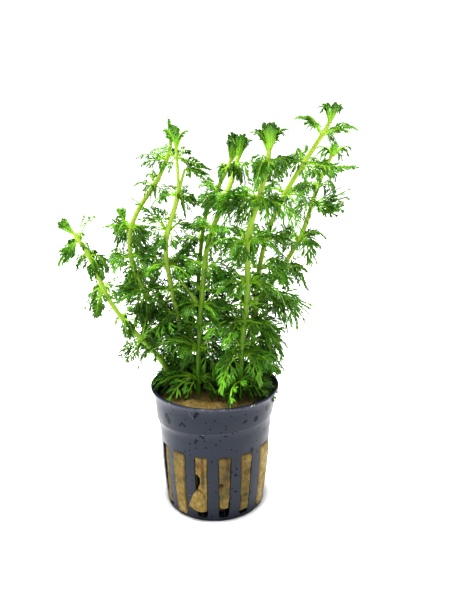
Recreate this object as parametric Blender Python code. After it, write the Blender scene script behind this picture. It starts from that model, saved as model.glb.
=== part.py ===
"""A potted bunch of Limnophila heterophylla, an aquarium stem plant.

Nine stems stand in a block of rock wool inside a slotted plastic pot. Each stem carries rings
of leaves at its nodes and ends in a tuft of young leaves.
Units are metres. The origin is the centre of the pot's underside, +Z is up and the front is -Y.
"""
import math
from collections import namedtuple

import bmesh
import bpy
from mathutils import Vector
from mathutils.bvhtree import BVHTree

MM = 0.001
UP = Vector((0.0, 0.0, 1.0))
CONTACT_GAP = 0.3 * MM

# Pot
POT_HEIGHT = 50.0 * MM
RIM_RADIUS = 25.0 * MM
WALL = 1.0 * MM
FLOOR_THICKNESS = 1.2 * MM
SLOT_COUNT = 15
SLOT_PITCH = math.tau / SLOT_COUNT
FIRST_SLOT_TURN = math.radians(9.9)
SLOT_HALF_TOP = math.radians(6.3)
SLOT_HALF_BOTTOM = math.radians(5.0)
SLOT_BOTTOM = 1.6 * MM
SLOT_TOP = 28.4 * MM

# Rock wool
WOOL_TOP = 46.0 * MM
WOOL_SIDES = 24
POCKET_FLOOR = 39.0 * MM
POCKET_SIDES = 6

# Stems
STEM_SIDES = 6
STEM_STEP = 9.0 * MM
STEM_FOOT = POCKET_FLOOR + 0.5 * MM
NODE_HEIGHT = 1.3 * MM
NODE_WALL = 0.5 * MM
NODE_ROOM = 2.2 * MM
BUD_LENGTH = 4.0 * MM

# Leaves
LEAF_THICKNESS = 0.55 * MM
LEAF_WIDTH_RATIO = 0.34
LEAF_WIDEST_AT = 0.45
LEAF_SHOULDER_AT = 0.8
LEAF_SHOULDER_WIDTH = 0.7
LEAF_CLEARANCE = 0.32 * MM
LEAF_RISE_BY_AGE = tuple(math.radians(angle) for angle in (42, 34, 26))
TUFT_LEAF_WIDTH = 2.3 * MM
TUFT_SPREAD = math.radians(50)
TUFT_UPRIGHT = math.radians(78)

Whorl = namedtuple("Whorl", "height reach fall")
Tuft = namedtuple("Tuft", "upright spread fall")
Stem = namedtuple("Stem", "radius sides route tuft whorls")

# All in mm. A route runs from the foot in the wool to the base of the tuft, sides is the number of
# leaves in a whorl, and the whorls go from the lowest up. A whorl's leaves end at its reach from
# the stem, and at its fall below the node. A tuft's spreading leaves droop by its fall.
STEMS = (
    Stem(0.90, 6, ((-16, -1, 39), (-16.5, -1, 50), (-20.5, -1, 60), (-29.5, -2.5, 70.5),
                   (-37.5, -4.5, 81.5), (-40.5, -5.5, 88), (-42.5, -6.5, 95), (-45, -7.5, 103),
                   (-50, -9, 111.5)),
         Tuft(6.0, 6.0, 0.5),
         (Whorl(60, 6, 3), Whorl(78, 5.5, 4), Whorl(91, 7.5, 8), Whorl(103, 6, 5), Whorl(109, 7.5, 6))),
    Stem(0.75, 5, ((-7, 17.5, 39), (-9, 18, 50), (-15.5, 18, 64), (-20, 18, 75), (-29, 17, 95),
                   (-32.5, 16, 104), (-35.5, 16, 112)),
         Tuft(4.5, 5.0, 0.5),
         (Whorl(91, 13, 5), Whorl(109, 7, 3))),
    Stem(0.90, 6, ((-14.5, 12.5, 39), (-16, 13, 54.5), (-19.5, 13.5, 65), (-27.5, 10.5, 85),
                   (-31.5, 9.5, 93.5), (-33, 9, 99), (-33.5, 8, 106), (-30.5, 8, 115.5),
                   (-24, 8, 124.5), (-18.5, 7, 131.5), (-16, 7, 141)),
         Tuft(8.5, 8.0, 1.5),
         (Whorl(66.5, 14, 6), Whorl(84.5, 13, 2), Whorl(99, 11, 3), Whorl(111, 7.5, 5),
          Whorl(127, 9, 3), Whorl(136.5, 9, 2))),
    Stem(0.95, 6, ((-10.5, 5.5, 39), (-11.5, 6.5, 56), (-14.5, 6.5, 76.5), (-16.5, 6, 84.5),
                   (-18, 4.5, 96), (-19, 4, 102.5), (-17.5, 3, 110.5), (-13, 1.5, 123),
                   (-13, 1, 131), (-13.5, -1, 141)),
         Tuft(7.0, 7.5, 2.0),
         (Whorl(56, 12, 5), Whorl(76, 14, 5), Whorl(96.5, 14, 4), Whorl(110.5, 13, -2),
          Whorl(123, 10, 2), Whorl(137.5, 8, 3))),
    Stem(0.85, 5, ((-2, 10.5, 39), (-4, 11.5, 55), (-7, 13, 77), (-5.5, 15.5, 100.5), (-4, 17, 113.5),
                   (0.5, 18, 123.5), (5.5, 20.5, 131.5), (7, 22, 137)),
         Tuft(8.5, 7.5, 0.5),
         (Whorl(77, 13, 5), Whorl(104, 13, 4), Whorl(123.5, 9, 3), Whorl(132, 7, 7))),
    Stem(1.00, 6, ((-6.5, -3, 39), (-6.5, -2, 60), (-5, -1, 82.5), (-3.5, 1, 98.5), (-2.5, 2.5, 106),
                   (2, 6, 117), (6, 10, 126), (8, 12, 131.5), (9.5, 14, 138)),
         Tuft(7.5, 7.5, 2.0),
         (Whorl(53, 11, 2), Whorl(64.5, 13, 3), Whorl(82, 14, 4), Whorl(97, 14, 4),
          Whorl(110.5, 13, 4), Whorl(122.5, 10, 6), Whorl(134.5, 5.5, 8))),
    Stem(1.10, 6, ((10, -4.5, 39), (10, -5.5, 60), (11, -6.5, 75.5), (12.5, -8, 90),
                   (12, -9.5, 101.5), (11.5, -10.5, 108), (12.5, -11.5, 113.5), (16.5, -13, 126),
                   (18.5, -13.5, 134), (19, -14, 141)),
         Tuft(8.5, 9.5, 3.0),
         (Whorl(52.5, 12, 2), Whorl(63.5, 14, 5), Whorl(75, 14, 5), Whorl(93, 14, 4),
          Whorl(109, 14, 4), Whorl(124, 15, 5), Whorl(137, 8, 8))),
    Stem(0.95, 6, ((15, 4.5, 39), (15.5, 5, 57.5), (15, 4.5, 70), (17, 2.5, 94.5), (19.5, 1, 108.5),
                   (24.5, 0, 121.5), (30.5, 0, 132.5), (37, 0, 141.5), (41.5, 0, 150)),
         Tuft(6.5, 7.0, 2.5),
         (Whorl(72, 15, 6), Whorl(96, 14, 3), Whorl(107.5, 13, 3), Whorl(124.5, 12, 3),
          Whorl(136, 11, 5), Whorl(145.5, 12.5, -1))),
    Stem(0.80, 5, ((8, 12.5, 39), (10.5, 13.5, 53), (17.5, 16, 76), (21, 17.5, 83), (31.5, 21, 97.5),
                   (36.5, 22, 107.5), (41.5, 25, 124), (45, 26, 133), (47, 26, 137)),
         Tuft(4.5, 6.5, 5.0),
         (Whorl(83, 18, 6), Whorl(92.5, 11, 6), Whorl(103, 11, 4), Whorl(117.5, 11, 2),
          Whorl(124.5, 10, 3), Whorl(132, 10.5, 2))),
)


# Helpers
class Route:
    """A smooth curve through the points of a stem's route, from its foot to its tuft."""

    def __init__(self, points):
        self.points = [Vector(point) * MM for point in points]
        first = self.points[0] * 2 - self.points[1]
        last = self.points[-1] * 2 - self.points[-2]
        self.knots = [first] + self.points + [last]

    def at(self, t):
        """Return the point at t, which counts the stretches between the route's points."""
        stretch = min(max(int(t), 0), len(self.points) - 2)
        u = t - stretch
        p0, p1, p2, p3 = self.knots[stretch:stretch + 4]
        return 0.5 * (2 * p1 + (p2 - p0) * u + (2 * p0 - 5 * p1 + 4 * p2 - p3) * u * u
                      + (3 * p1 - p0 - 3 * p2 + p3) * u * u * u)

    def direction(self, t):
        """Return the curve's direction at t."""
        end = len(self.points) - 1
        step = 0.01
        return (self.at(min(t + step, end)) - self.at(max(t - step, 0.0))).normalized()

    def at_height(self, height):
        """Return the parameter where the curve reaches a height."""
        low = 0.0
        high = float(len(self.points) - 1)
        for _ in range(40):
            middle = (low + high) / 2
            if self.at(middle).z < height:
                low = middle
            else:
                high = middle
        return (low + high) / 2

    def stations(self, bottom, nodes):
        """Return parameters from the height bottom up: one at each node and some between them."""
        marks = [self.at_height(bottom)] + [self.at_height(node) for node in nodes]
        marks.append(float(len(self.points) - 1))
        result = [marks[0]]
        for start, end in zip(marks, marks[1:]):
            chord = (self.at(end) - self.at(start)).length
            parts = max(1, round(chord / STEM_STEP))
            result += [start + (end - start) * k / parts for k in range(1, parts + 1)]
        return result


def axes_across(direction):
    """Return two unit vectors square to a direction, the first as near to +X as it can be."""
    first = Vector((1.0, 0.0, 0.0))
    first = (first - direction * first.dot(direction)).normalized()
    return first, direction.cross(first)


def ring_points(centre, direction, radius, sides, turn=0.0):
    """Return the corners of a regular polygon round a direction."""
    first, second = axes_across(direction)
    points = []
    for k in range(sides):
        angle = turn + math.tau * k / sides
        points.append(centre + radius * (math.cos(angle) * first + math.sin(angle) * second))
    return points


def make_object(name, points, faces, material, smooth=False):
    """Make one closed object from shared points and faces."""
    bm = bmesh.new()
    verts = [bm.verts.new(point) for point in points]
    for face in faces:
        bm.faces.new([verts[i] for i in face])
    bmesh.ops.triangulate(bm, faces=bm.faces[:])
    bmesh.ops.recalc_face_normals(bm, faces=bm.faces[:])
    mesh = bpy.data.meshes.new(name)
    bm.to_mesh(mesh)
    bm.free()
    mesh.materials.append(material)
    if smooth:
        mesh.shade_smooth()
        mesh.set_sharp_from_angle(angle=math.radians(35))
    obj = bpy.data.objects.new(name, mesh)
    bpy.context.scene.collection.objects.link(obj)
    return obj


def make_material(name, colour, roughness):
    """Make a plain Principled material."""
    material = bpy.data.materials.new(name)
    material.use_nodes = True
    shader = material.node_tree.nodes["Principled BSDF"]
    shader.inputs["Base Color"].default_value = (*colour, 1.0)
    shader.inputs["Roughness"].default_value = roughness
    shader.inputs["Metallic"].default_value = 0.0
    return material


class Obstacles:
    """The solids made so far, each with its bounding box, to keep new leaves clear of them."""

    def __init__(self):
        self.items = []

    def add(self, owner, points, faces):
        tree = BVHTree.FromPolygons(points, faces)
        low = Vector([min(p[i] for p in points) for i in range(3)])
        high = Vector([max(p[i] for p in points) for i in range(3)])
        self.items.append((owner, low, high, tree))

    def hit(self, owner, points, faces):
        """Tell whether a shape meets any solid that isn't its owner's."""
        low = Vector([min(p[i] for p in points) for i in range(3)])
        high = Vector([max(p[i] for p in points) for i in range(3)])
        tree = None
        for other, other_low, other_high, other_tree in self.items:
            if other == owner:
                continue
            if any(high[i] < other_low[i] or low[i] > other_high[i] for i in range(3)):
                continue
            if tree is None:
                tree = BVHTree.FromPolygons(points, faces)
            if tree.overlap(other_tree):
                return True
        return False


# Pot
def pot_profile():
    """Return pairs of outer and inner points, as radius and height, from the hub to the rim."""
    floor = FLOOR_THICKNESS
    return [
        ((5.0 * MM, 0.0), (5.0 * MM, floor)),
        ((8.5 * MM, 0.0), (8.5 * MM, floor)),
        ((15.0 * MM, 0.0), (15.0 * MM, floor)),
        ((20.1 * MM, 0.0), (19.3 * MM, floor)),
        ((20.9 * MM, SLOT_BOTTOM), (20.9 * MM - WALL, SLOT_BOTTOM)),
        ((21.6 * MM, SLOT_TOP), (21.6 * MM - WALL, SLOT_TOP)),
        ((22.0 * MM, 38.2 * MM), (22.0 * MM - WALL, 38.2 * MM)),
        ((22.7 * MM, 38.9 * MM), (22.5 * MM - WALL, 40.0 * MM)),
        ((23.5 * MM, 41.3 * MM), (23.3 * MM - WALL, 42.0 * MM)),
        ((24.2 * MM, 45.0 * MM), (24.2 * MM - WALL, 45.2 * MM)),
        ((RIM_RADIUS, POT_HEIGHT), (RIM_RADIUS - WALL, POT_HEIGHT)),
    ]


HUB_ROW = 0
FLOOR_HOLE_ROW = 1
SLOT_ROW = 4


def slot_edge(column, height):
    """Return the angle of a slot's edge: even columns are left edges and odd ones right edges."""
    share = min(max((height - SLOT_BOTTOM) / (SLOT_TOP - SLOT_BOTTOM), 0.0), 1.0)
    half = SLOT_HALF_BOTTOM + (SLOT_HALF_TOP - SLOT_HALF_BOTTOM) * share
    centre = FIRST_SLOT_TURN + SLOT_PITCH * (column // 2)
    return centre + (half if column % 2 else -half)


def build_pot(material):
    """Build the pot: a thin turned wall and floor with slots cut through both."""
    profile = pot_profile()
    columns = 2 * SLOT_COUNT
    points = []
    for side in range(2):
        for pair in profile:
            radius, height = pair[side]
            for column in range(columns):
                angle = slot_edge(column, height)
                points.append(Vector((radius * math.sin(angle), -radius * math.cos(angle), height)))

    def corner(side, row, column):
        return (side * len(profile) + row) * columns + column % columns

    def is_hole(row, column):
        return column % 2 == 0 and row in (FLOOR_HOLE_ROW, SLOT_ROW)

    faces = []
    for column in range(columns):
        for row in range(len(profile) - 1):
            if is_hole(row, column):
                outline = [(row, column), (row, column + 1), (row + 1, column + 1), (row + 1, column)]
                for i in range(4):
                    a = outline[i]
                    b = outline[(i + 1) % 4]
                    faces.append((corner(0, *a), corner(0, *b), corner(1, *b), corner(1, *a)))
                continue
            for side in range(2):
                faces.append((corner(side, row, column), corner(side, row, column + 1),
                              corner(side, row + 1, column + 1), corner(side, row + 1, column)))
        rim = len(profile) - 1
        faces.append((corner(0, rim, column), corner(0, rim, column + 1),
                      corner(1, rim, column + 1), corner(1, rim, column)))
    for side in range(2):
        faces.append([corner(side, HUB_ROW, column) for column in range(columns)])
    make_object("pot", points, faces, material, smooth=True)
    return points, faces


# Rock wool
def build_wool(material, feet):
    """Build the wool block: a turned form inside the pot, with a pocket for each stem's foot."""
    wall = CONTACT_GAP + WALL
    profile = [
        (13.5 * MM, FLOOR_THICKNESS + CONTACT_GAP),
        (18.2 * MM, 4.0 * MM),
        (21.0 * MM - wall, 8.0 * MM),
        (21.6 * MM - wall, SLOT_TOP),
        (22.0 * MM - wall, 38.0 * MM),
        (21.6 * MM, 43.5 * MM),
        (20.2 * MM, WOOL_TOP),
    ]
    points = []
    for radius, height in profile:
        for k in range(WOOL_SIDES):
            angle = math.tau * k / WOOL_SIDES
            points.append(Vector((radius * math.sin(angle), -radius * math.cos(angle), height)))
    faces = []
    for row in range(len(profile) - 1):
        for k in range(WOOL_SIDES):
            after = (k + 1) % WOOL_SIDES
            low = row * WOOL_SIDES
            high = low + WOOL_SIDES
            faces.append((low + k, low + after, high + after, high + k))
    top_row = (len(profile) - 1) * WOOL_SIDES
    faces.append(list(range(WOOL_SIDES)))
    faces.append(list(range(top_row, top_row + WOOL_SIDES)))
    wool = make_object("rock_wool", points, faces, material, smooth=True)
    cutter = pocket_cutter(feet, material)
    cut = wool.modifiers.new("stem pockets", 'BOOLEAN')
    cut.operation = 'DIFFERENCE'
    cut.solver = 'EXACT'
    cut.object = cutter
    bpy.context.view_layer.objects.active = wool
    bpy.ops.object.modifier_apply(modifier=cut.name)
    bpy.data.objects.remove(cutter, do_unlink=True)
    return points, faces


def pocket_cutter(feet, material):
    """Build the cutter for the pockets: one upright prism for each stem's foot."""
    points = []
    faces = []
    for radius, route in feet:
        reach = (radius + CONTACT_GAP) / math.cos(math.pi / POCKET_SIDES)
        start = len(points)
        for height in (POCKET_FLOOR, WOOL_TOP + 2 * MM):
            centre = route.at(route.at_height(height))
            centre.z = height
            points += ring_points(centre, UP, reach, POCKET_SIDES)
        for k in range(POCKET_SIDES):
            after = (k + 1) % POCKET_SIDES
            faces.append((start + k, start + after, start + POCKET_SIDES + after, start + POCKET_SIDES + k))
        faces.append([start + k for k in range(POCKET_SIDES)])
        faces.append([start + POCKET_SIDES + k for k in range(POCKET_SIDES)])
    return make_object("stem_pocket_cutter", points, faces, material)


# Leaves
Leaf = namedtuple("Leaf", "root outward axis reach climb droop swing width")


def leaf_midrib(leaf, share):
    """Return the point at a share of a leaf: out by its reach, up by its climb and down by its droop."""
    outward = leaf.outward * math.cos(leaf.swing) + leaf.axis.cross(leaf.outward) * math.sin(leaf.swing)
    rising = outward * leaf.reach + leaf.axis * leaf.climb
    return leaf.root + rising * share - UP * leaf.droop * share * share


def leaf_sections(leaf, extra):
    """Return the three-sided sections of a leaf's blade and its tip, grown by extra on all sides."""
    sections = []
    for share, width in ((LEAF_WIDEST_AT, 1.0), (LEAF_SHOULDER_AT, LEAF_SHOULDER_WIDTH)):
        middle = leaf_midrib(leaf, share)
        along = (leaf_midrib(leaf, share + 0.05) - leaf_midrib(leaf, share - 0.05)).normalized()
        across = leaf.axis.cross(leaf.outward)
        across = (across - along * across.dot(along)).normalized()
        over = along.cross(across)
        half = leaf.width * width / 2 + extra
        sections.append([middle - across * half - over * extra, middle + across * half - over * extra,
                         middle + over * (LEAF_THICKNESS * width + extra)])
    tip = leaf_midrib(leaf, 1.0)
    along = (tip - leaf_midrib(leaf, 0.95)).normalized()
    return sections, tip + along * extra


def leaf_faces(root, first, second, tip):
    """Return the faces of a leaf. root is its four corners: low left, low right, high right, high left."""
    low_left, low_right, high_right, high_left = root
    faces = [
        (low_left, low_right, first[1], first[0]),
        (low_right, high_right, first[2], first[1]),
        (high_right, high_left, first[2]),
        (high_left, low_left, first[0], first[2]),
    ]
    for i in range(3):
        after = (i + 1) % 3
        faces.append((first[i], first[after], second[after], second[i]))
        faces.append((second[i], second[after], tip))
    return faces


def add_leaf(points, faces, root, leaf):
    """Grow a leaf from four corners that are already in points, or close them where none fits."""
    if leaf is None:
        faces.append(root)
        return
    sections, tip = leaf_sections(leaf, 0.0)
    start = len(points)
    points += sections[0] + sections[1] + [tip]
    faces += leaf_faces(root, (start, start + 1, start + 2), (start + 3, start + 4, start + 5), start + 6)


def test_shape(leaf):
    """Return a closed shape a little larger than a leaf, used to look for room."""
    sections, tip = leaf_sections(leaf, LEAF_CLEARANCE)
    near = leaf_midrib(leaf, 0.08)
    across = leaf.axis.cross(leaf.outward)
    half = 0.7 * MM + LEAF_CLEARANCE
    tall = NODE_HEIGHT / 2 + LEAF_CLEARANCE
    points = [near - across * half - leaf.axis * tall, near + across * half - leaf.axis * tall,
              near + across * half + leaf.axis * tall, near - across * half + leaf.axis * tall]
    points += sections[0] + sections[1] + [tip]
    faces = [(3, 2, 1, 0)] + leaf_faces((0, 1, 2, 3), (4, 5, 6), (7, 8, 9), 10)
    return points, faces


def attempts():
    """Yield changes of size, tip height and swing to try in turn, from none at all to a short stub."""
    lifts = (0.0, 0.16, -0.16, 0.32, -0.32, 0.5, -0.5, 0.75)
    swings = (0.0, 4.0, -4.0, 8.0, -8.0)
    for scale in (1.0, 0.86, 0.72, 0.58, 0.44, 0.3, 0.2, 0.15):
        for lift in lifts:
            for swing in swings:
                yield scale, lift, math.radians(swing)


def fit_leaf(leaf, owner, obstacles):
    """Return the leaf changed as little as it takes to clear every other solid."""
    length = math.hypot(leaf.reach, leaf.climb)
    for scale, lift, swing in attempts():
        changed = leaf._replace(reach=leaf.reach * scale, climb=leaf.climb * scale,
                                droop=leaf.droop * scale - lift * length * scale, swing=swing,
                                width=leaf.width * (0.5 + 0.5 * scale))
        points, faces = test_shape(changed)
        if not obstacles.hit(owner, points, faces):
            obstacles.add(owner, points, faces)
            return changed
    return None


def whorl_leaf(root, outward, axis, whorl, order):
    """Return a leaf of a whorl. order counts the whorls from the tip: the youngest leaves rise most.

    On a leaning stem the whorl turns halfway back to level, as leaves do that grow to the light.
    """
    level = (axis + UP).normalized()
    outward = (outward - level * outward.dot(level)).normalized()
    reach = whorl.reach * MM
    fall = whorl.fall * MM
    climb = reach * math.tan(LEAF_RISE_BY_AGE[min(order, 2)])
    return Leaf(root=root, outward=outward, axis=level, reach=reach, climb=climb, droop=climb + fall,
                swing=0.0, width=LEAF_WIDTH_RATIO * math.hypot(reach, fall))


def tuft_leaf(root, outward, axis, tuft, spreading):
    """Return a leaf of a tuft, which either spreads out or stands nearly upright."""
    length = (tuft.spread if spreading else tuft.upright) * MM
    rise = TUFT_SPREAD if spreading else TUFT_UPRIGHT
    return Leaf(root=root, outward=outward, axis=axis, reach=length * math.cos(rise),
                climb=length * math.sin(rise), droop=tuft.fall * MM if spreading else 0.0,
                swing=0.0, width=TUFT_LEAF_WIDTH)


# Stems
def stem_body(route, stem):
    """Return the points and faces of a stem, open at the top ring where the tuft grows."""
    radius = stem.radius * MM
    stations = route.stations(STEM_FOOT, [whorl.height * MM for whorl in stem.whorls])
    points = []
    faces = []
    for t in stations:
        points += ring_points(route.at(t), route.direction(t), radius, STEM_SIDES)
    for row in range(len(stations) - 1):
        for k in range(STEM_SIDES):
            after = (k + 1) % STEM_SIDES
            low = row * STEM_SIDES
            high = low + STEM_SIDES
            faces.append((low + k, low + after, high + after, high + k))
    faces.append(list(range(STEM_SIDES)))
    return points, faces, stations[-1]


def build_stem(name, stem, route, material, obstacles):
    """Build a stem and the tuft at its tip: upright and spreading young leaves round a bud."""
    radius = stem.radius * MM
    points, faces, end = stem_body(route, stem)
    axis = route.direction(end)
    foot = route.at(end)
    first, second = axes_across(axis)
    low = len(points) - STEM_SIDES
    obstacles.add(name, list(points), list(faces))
    top = len(points)
    head = foot + axis * NODE_HEIGHT
    points += ring_points(head, axis, radius, STEM_SIDES)
    middle_angle = math.pi / STEM_SIDES
    for k in range(STEM_SIDES):
        after = (k + 1) % STEM_SIDES
        angle = middle_angle + math.tau * k / STEM_SIDES
        outward = math.cos(angle) * first + math.sin(angle) * second
        root = foot + axis * NODE_HEIGHT / 2 + outward * radius * math.cos(middle_angle)
        leaf = tuft_leaf(root, outward, axis, stem.tuft, k % 2 == 0)
        add_leaf(points, faces, (low + k, low + after, top + after, top + k),
                 fit_leaf(leaf, name, obstacles))
    bud = len(points)
    points.append(head + axis * BUD_LENGTH)
    for k in range(STEM_SIDES):
        faces.append((top + k, top + (k + 1) % STEM_SIDES, bud))
    return make_object(name, points, faces, material)


# Leaf rings
def node_ring(route, height, radius, sides, turn):
    """Return the node that a ring of leaves grows from: its points, its faces and its frame."""
    t = route.at_height(height)
    centre = route.at(t)
    axis = route.direction(t)
    inner = (radius + CONTACT_GAP) / math.cos(math.pi / sides)
    outer = inner + NODE_WALL
    low = centre - axis * NODE_HEIGHT / 2
    high = centre + axis * NODE_HEIGHT / 2
    points = []
    for middle, reach in ((low, inner), (high, inner), (low, outer), (high, outer)):
        points += ring_points(middle, axis, reach, sides, turn - math.pi / sides)
    faces = []
    for k in range(sides):
        after = (k + 1) % sides
        inner_low, inner_high, outer_low, outer_high = (k, sides + k, 2 * sides + k, 3 * sides + k)
        step = after - k
        faces.append((inner_low, inner_low + step, inner_high + step, inner_high))
        faces.append((inner_low, inner_low + step, outer_low + step, outer_low))
        faces.append((inner_high, inner_high + step, outer_high + step, outer_high))
    return points, faces, centre, axis, outer


def keep_room(name, ring, obstacles):
    """Keep other rings' leaves out of a short prism round a node, so its own leaves can start."""
    _, _, centre, axis, outer = ring
    tall = NODE_HEIGHT / 2 + CONTACT_GAP
    points = []
    for middle in (centre - axis * tall, centre + axis * tall):
        points += ring_points(middle, axis, outer + NODE_ROOM, STEM_SIDES)
    faces = [list(range(STEM_SIDES)), list(range(STEM_SIDES, 2 * STEM_SIDES))]
    for k in range(STEM_SIDES):
        after = (k + 1) % STEM_SIDES
        faces.append((k, after, STEM_SIDES + after, STEM_SIDES + k))
    obstacles.add(name, points, faces)


def build_leaf_ring(name, ring, sides, turn, whorl, order, material, obstacles):
    """Build one ring of leaves round a stem."""
    points, faces, centre, axis, outer = ring
    points = list(points)
    faces = list(faces)
    first, second = axes_across(axis)
    for k in range(sides):
        after = (k + 1) % sides
        angle = turn + math.tau * k / sides
        outward = math.cos(angle) * first + math.sin(angle) * second
        leaf = whorl_leaf(centre + outward * outer * math.cos(math.pi / sides), outward, axis, whorl, order)
        root = (2 * sides + k, 2 * sides + after, 3 * sides + after, 3 * sides + k)
        add_leaf(points, faces, root, fit_leaf(leaf, name, obstacles))
    return make_object(name, points, faces, material)


def main():
    for obj in list(bpy.data.objects):
        bpy.data.objects.remove(obj, do_unlink=True)
    plastic = make_material("pot_plastic", (0.045, 0.05, 0.062), 0.38)
    wool_fibre = make_material("rock_wool", (0.42, 0.31, 0.10), 0.95)
    stem_green = make_material("stem_green", (0.30, 0.50, 0.05), 0.35)
    leaf_green = make_material("leaf_green", (0.06, 0.20, 0.03), 0.4)
    routes = [Route(stem.route) for stem in STEMS]
    obstacles = Obstacles()
    obstacles.add("pot", *build_pot(plastic))
    feet = [(stem.radius * MM, route) for stem, route in zip(STEMS, routes)]
    wool_points, wool_faces = build_wool(wool_fibre, feet)

    rings = []
    for number, (stem, route) in enumerate(zip(STEMS, routes), start=1):
        for level, whorl in enumerate(stem.whorls, start=1):
            name = "stem_%d_leaf_whorl_%d" % (number, level)
            turn = math.pi / stem.sides * (level % 2)
            ring = node_ring(route, whorl.height * MM, stem.radius * MM, stem.sides, turn)
            order = len(stem.whorls) - level
            rings.append((name, ring, stem.sides, turn, whorl, order))
            keep_room(name, ring, obstacles)
    for number, (stem, route) in enumerate(zip(STEMS, routes), start=1):
        build_stem("stem_%d" % number, stem, route, stem_green, obstacles)
    obstacles.add("rock_wool", wool_points, wool_faces)
    for name, ring, sides, turn, whorl, order in rings:
        build_leaf_ring(name, ring, sides, turn, whorl, order, leaf_green, obstacles)


main()
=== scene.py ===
# %% [markdown]
# # A potted bunch of Limnophila heterophylla
# Nine aquarium stem plants stand in a block of rock wool inside a small slotted pot. This lesson
# dresses the plain solids of that plant: it reads where each stem and leaf is from the frame, and
# grows the fine leaves, the fibres and the moulded plastic there.

# %% Load the fixed frame
import math
import random
from collections import namedtuple

import bmesh
import bpy
import numpy as np
from mathutils import Matrix, Vector, noise


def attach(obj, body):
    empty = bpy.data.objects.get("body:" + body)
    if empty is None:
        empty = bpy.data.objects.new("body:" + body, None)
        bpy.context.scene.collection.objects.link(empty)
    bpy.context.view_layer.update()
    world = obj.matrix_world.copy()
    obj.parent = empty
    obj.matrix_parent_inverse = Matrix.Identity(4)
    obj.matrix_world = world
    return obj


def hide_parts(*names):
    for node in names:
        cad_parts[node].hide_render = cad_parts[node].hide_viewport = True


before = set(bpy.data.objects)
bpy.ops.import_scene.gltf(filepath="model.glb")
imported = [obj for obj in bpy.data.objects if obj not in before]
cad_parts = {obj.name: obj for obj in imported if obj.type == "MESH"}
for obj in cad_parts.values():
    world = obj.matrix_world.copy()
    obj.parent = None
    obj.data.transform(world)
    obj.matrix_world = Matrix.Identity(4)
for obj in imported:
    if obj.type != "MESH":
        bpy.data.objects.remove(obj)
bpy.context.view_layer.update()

MM = 0.001
print("nodes in the frame:", len(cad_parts))

# %% [markdown]
# ## Camera
# The photograph looks slightly down on the plant from close by, so the pot narrows and its rim is
# an open ellipse. The place and the focal length were found by fitting the rim, the base and the
# slots of a pot of known size, which fixes the perspective for everything else.

# %% Camera
CAMERA_PLACE = Vector((2.5, -236.0, 151.2)) * MM
CAMERA_DOWN = math.radians(15.73)
CAMERA_TO_THE_RIGHT = math.radians(1.30)
CAMERA_ROLL = math.radians(0.17)
FOCAL_LENGTH_IN_PIXELS = 640.0
PHOTO_WIDTH_IN_PIXELS = 470.0
PHOTO_HEIGHT_IN_PIXELS = 596.0
SENSOR_WIDTH = 36.0

camera_data = bpy.data.cameras.new("photo_camera")
camera_data.sensor_width = SENSOR_WIDTH
camera_data.lens = SENSOR_WIDTH * FOCAL_LENGTH_IN_PIXELS / PHOTO_HEIGHT_IN_PIXELS
camera_data.clip_start = 0.01
camera = bpy.data.objects.new("photo_camera", camera_data)
camera.matrix_world = (Matrix.Translation(CAMERA_PLACE)
                       @ Matrix.Rotation(-CAMERA_TO_THE_RIGHT, 4, 'Z')
                       @ Matrix.Rotation(math.pi / 2 - CAMERA_DOWN, 4, 'X')
                       @ Matrix.Rotation(CAMERA_ROLL, 4, 'Z'))
bpy.context.scene.collection.objects.link(camera)
bpy.context.scene.camera = camera
print("lens in mm:", round(camera_data.lens, 2))

# %% [markdown]
# ## Reading the plain solids
# Each plain leaf is a blade with two three-cornered sections and one tip. A tip is the only corner
# that has just three edges, so the leaf can be walked from its tip back to its root. Three points of
# its midrib and the root then give back the smooth arch that the leaf follows.

# %% Walk the plain leaves
WELD = 0.001 * MM
WIDEST_AT = 0.45
SHOULDER_AT = 0.8

PlainLeaf = namedtuple("PlainLeaf", "root start bend side over length late", defaults=(np.zeros(3),))


def welded(node):
    """Return a node's mesh with its corners joined, because the frame keeps each face apart."""
    bm = bmesh.new()
    bm.from_mesh(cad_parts[node].data)
    bmesh.ops.remove_doubles(bm, verts=bm.verts, dist=WELD)
    bm.verts.ensure_lookup_table()
    return bm


def neighbours(verts, known):
    """Return the corners joined to some corners, leaving out those already known."""
    found = []
    for vert in verts:
        for edge in vert.link_edges:
            other = edge.other_vert(vert)
            if other not in known and other not in found:
                found.append(other)
    return found


def section_frame(section):
    """Return the middle, the side and the upper side of a three-cornered section."""
    pairs = [(section[0], section[1], section[2]), (section[1], section[2], section[0]),
             (section[2], section[0], section[1])]
    left, right, top = max(pairs, key=lambda p: (p[0].co - p[1].co).length)
    middle = (left.co + right.co) / 2
    return middle, (right.co - left.co).normalized(), (top.co - middle).normalized()


def plain_leaves(bm):
    """Return a plain solid's leaves. A leaf's points are root + start s + bend s s, with s from 0 to 1."""
    leaves = []
    for tip in bm.verts:
        if len(tip.link_edges) != 3:
            continue
        shoulder = neighbours([tip], [tip])
        widest = neighbours(shoulder, shoulder + [tip])
        corners = neighbours(widest, widest + shoulder)
        if len(widest) != 3 or len(corners) != 4:
            continue
        middle, side, over = section_frame(widest)
        shoulder_middle = section_frame(shoulder)[0]
        marks = np.array([[1.0, s, s * s] for s in (WIDEST_AT, SHOULDER_AT, 1.0)])
        places = np.array([middle, shoulder_middle, tip.co])
        root, start, bend = np.linalg.solve(marks, places)
        length = (middle - Vector(root)).length + (shoulder_middle - middle).length
        length += (tip.co - shoulder_middle).length
        leaves.append(PlainLeaf(root, start, bend, np.array(side), np.array(over), length))
    return leaves


# %% Read the stems' centre lines
SLICE_STEP = 2.0 * MM
SMOOTHING_PASSES = 6

StemLine = namedtuple("StemLine", "name points radius tuft")


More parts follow.
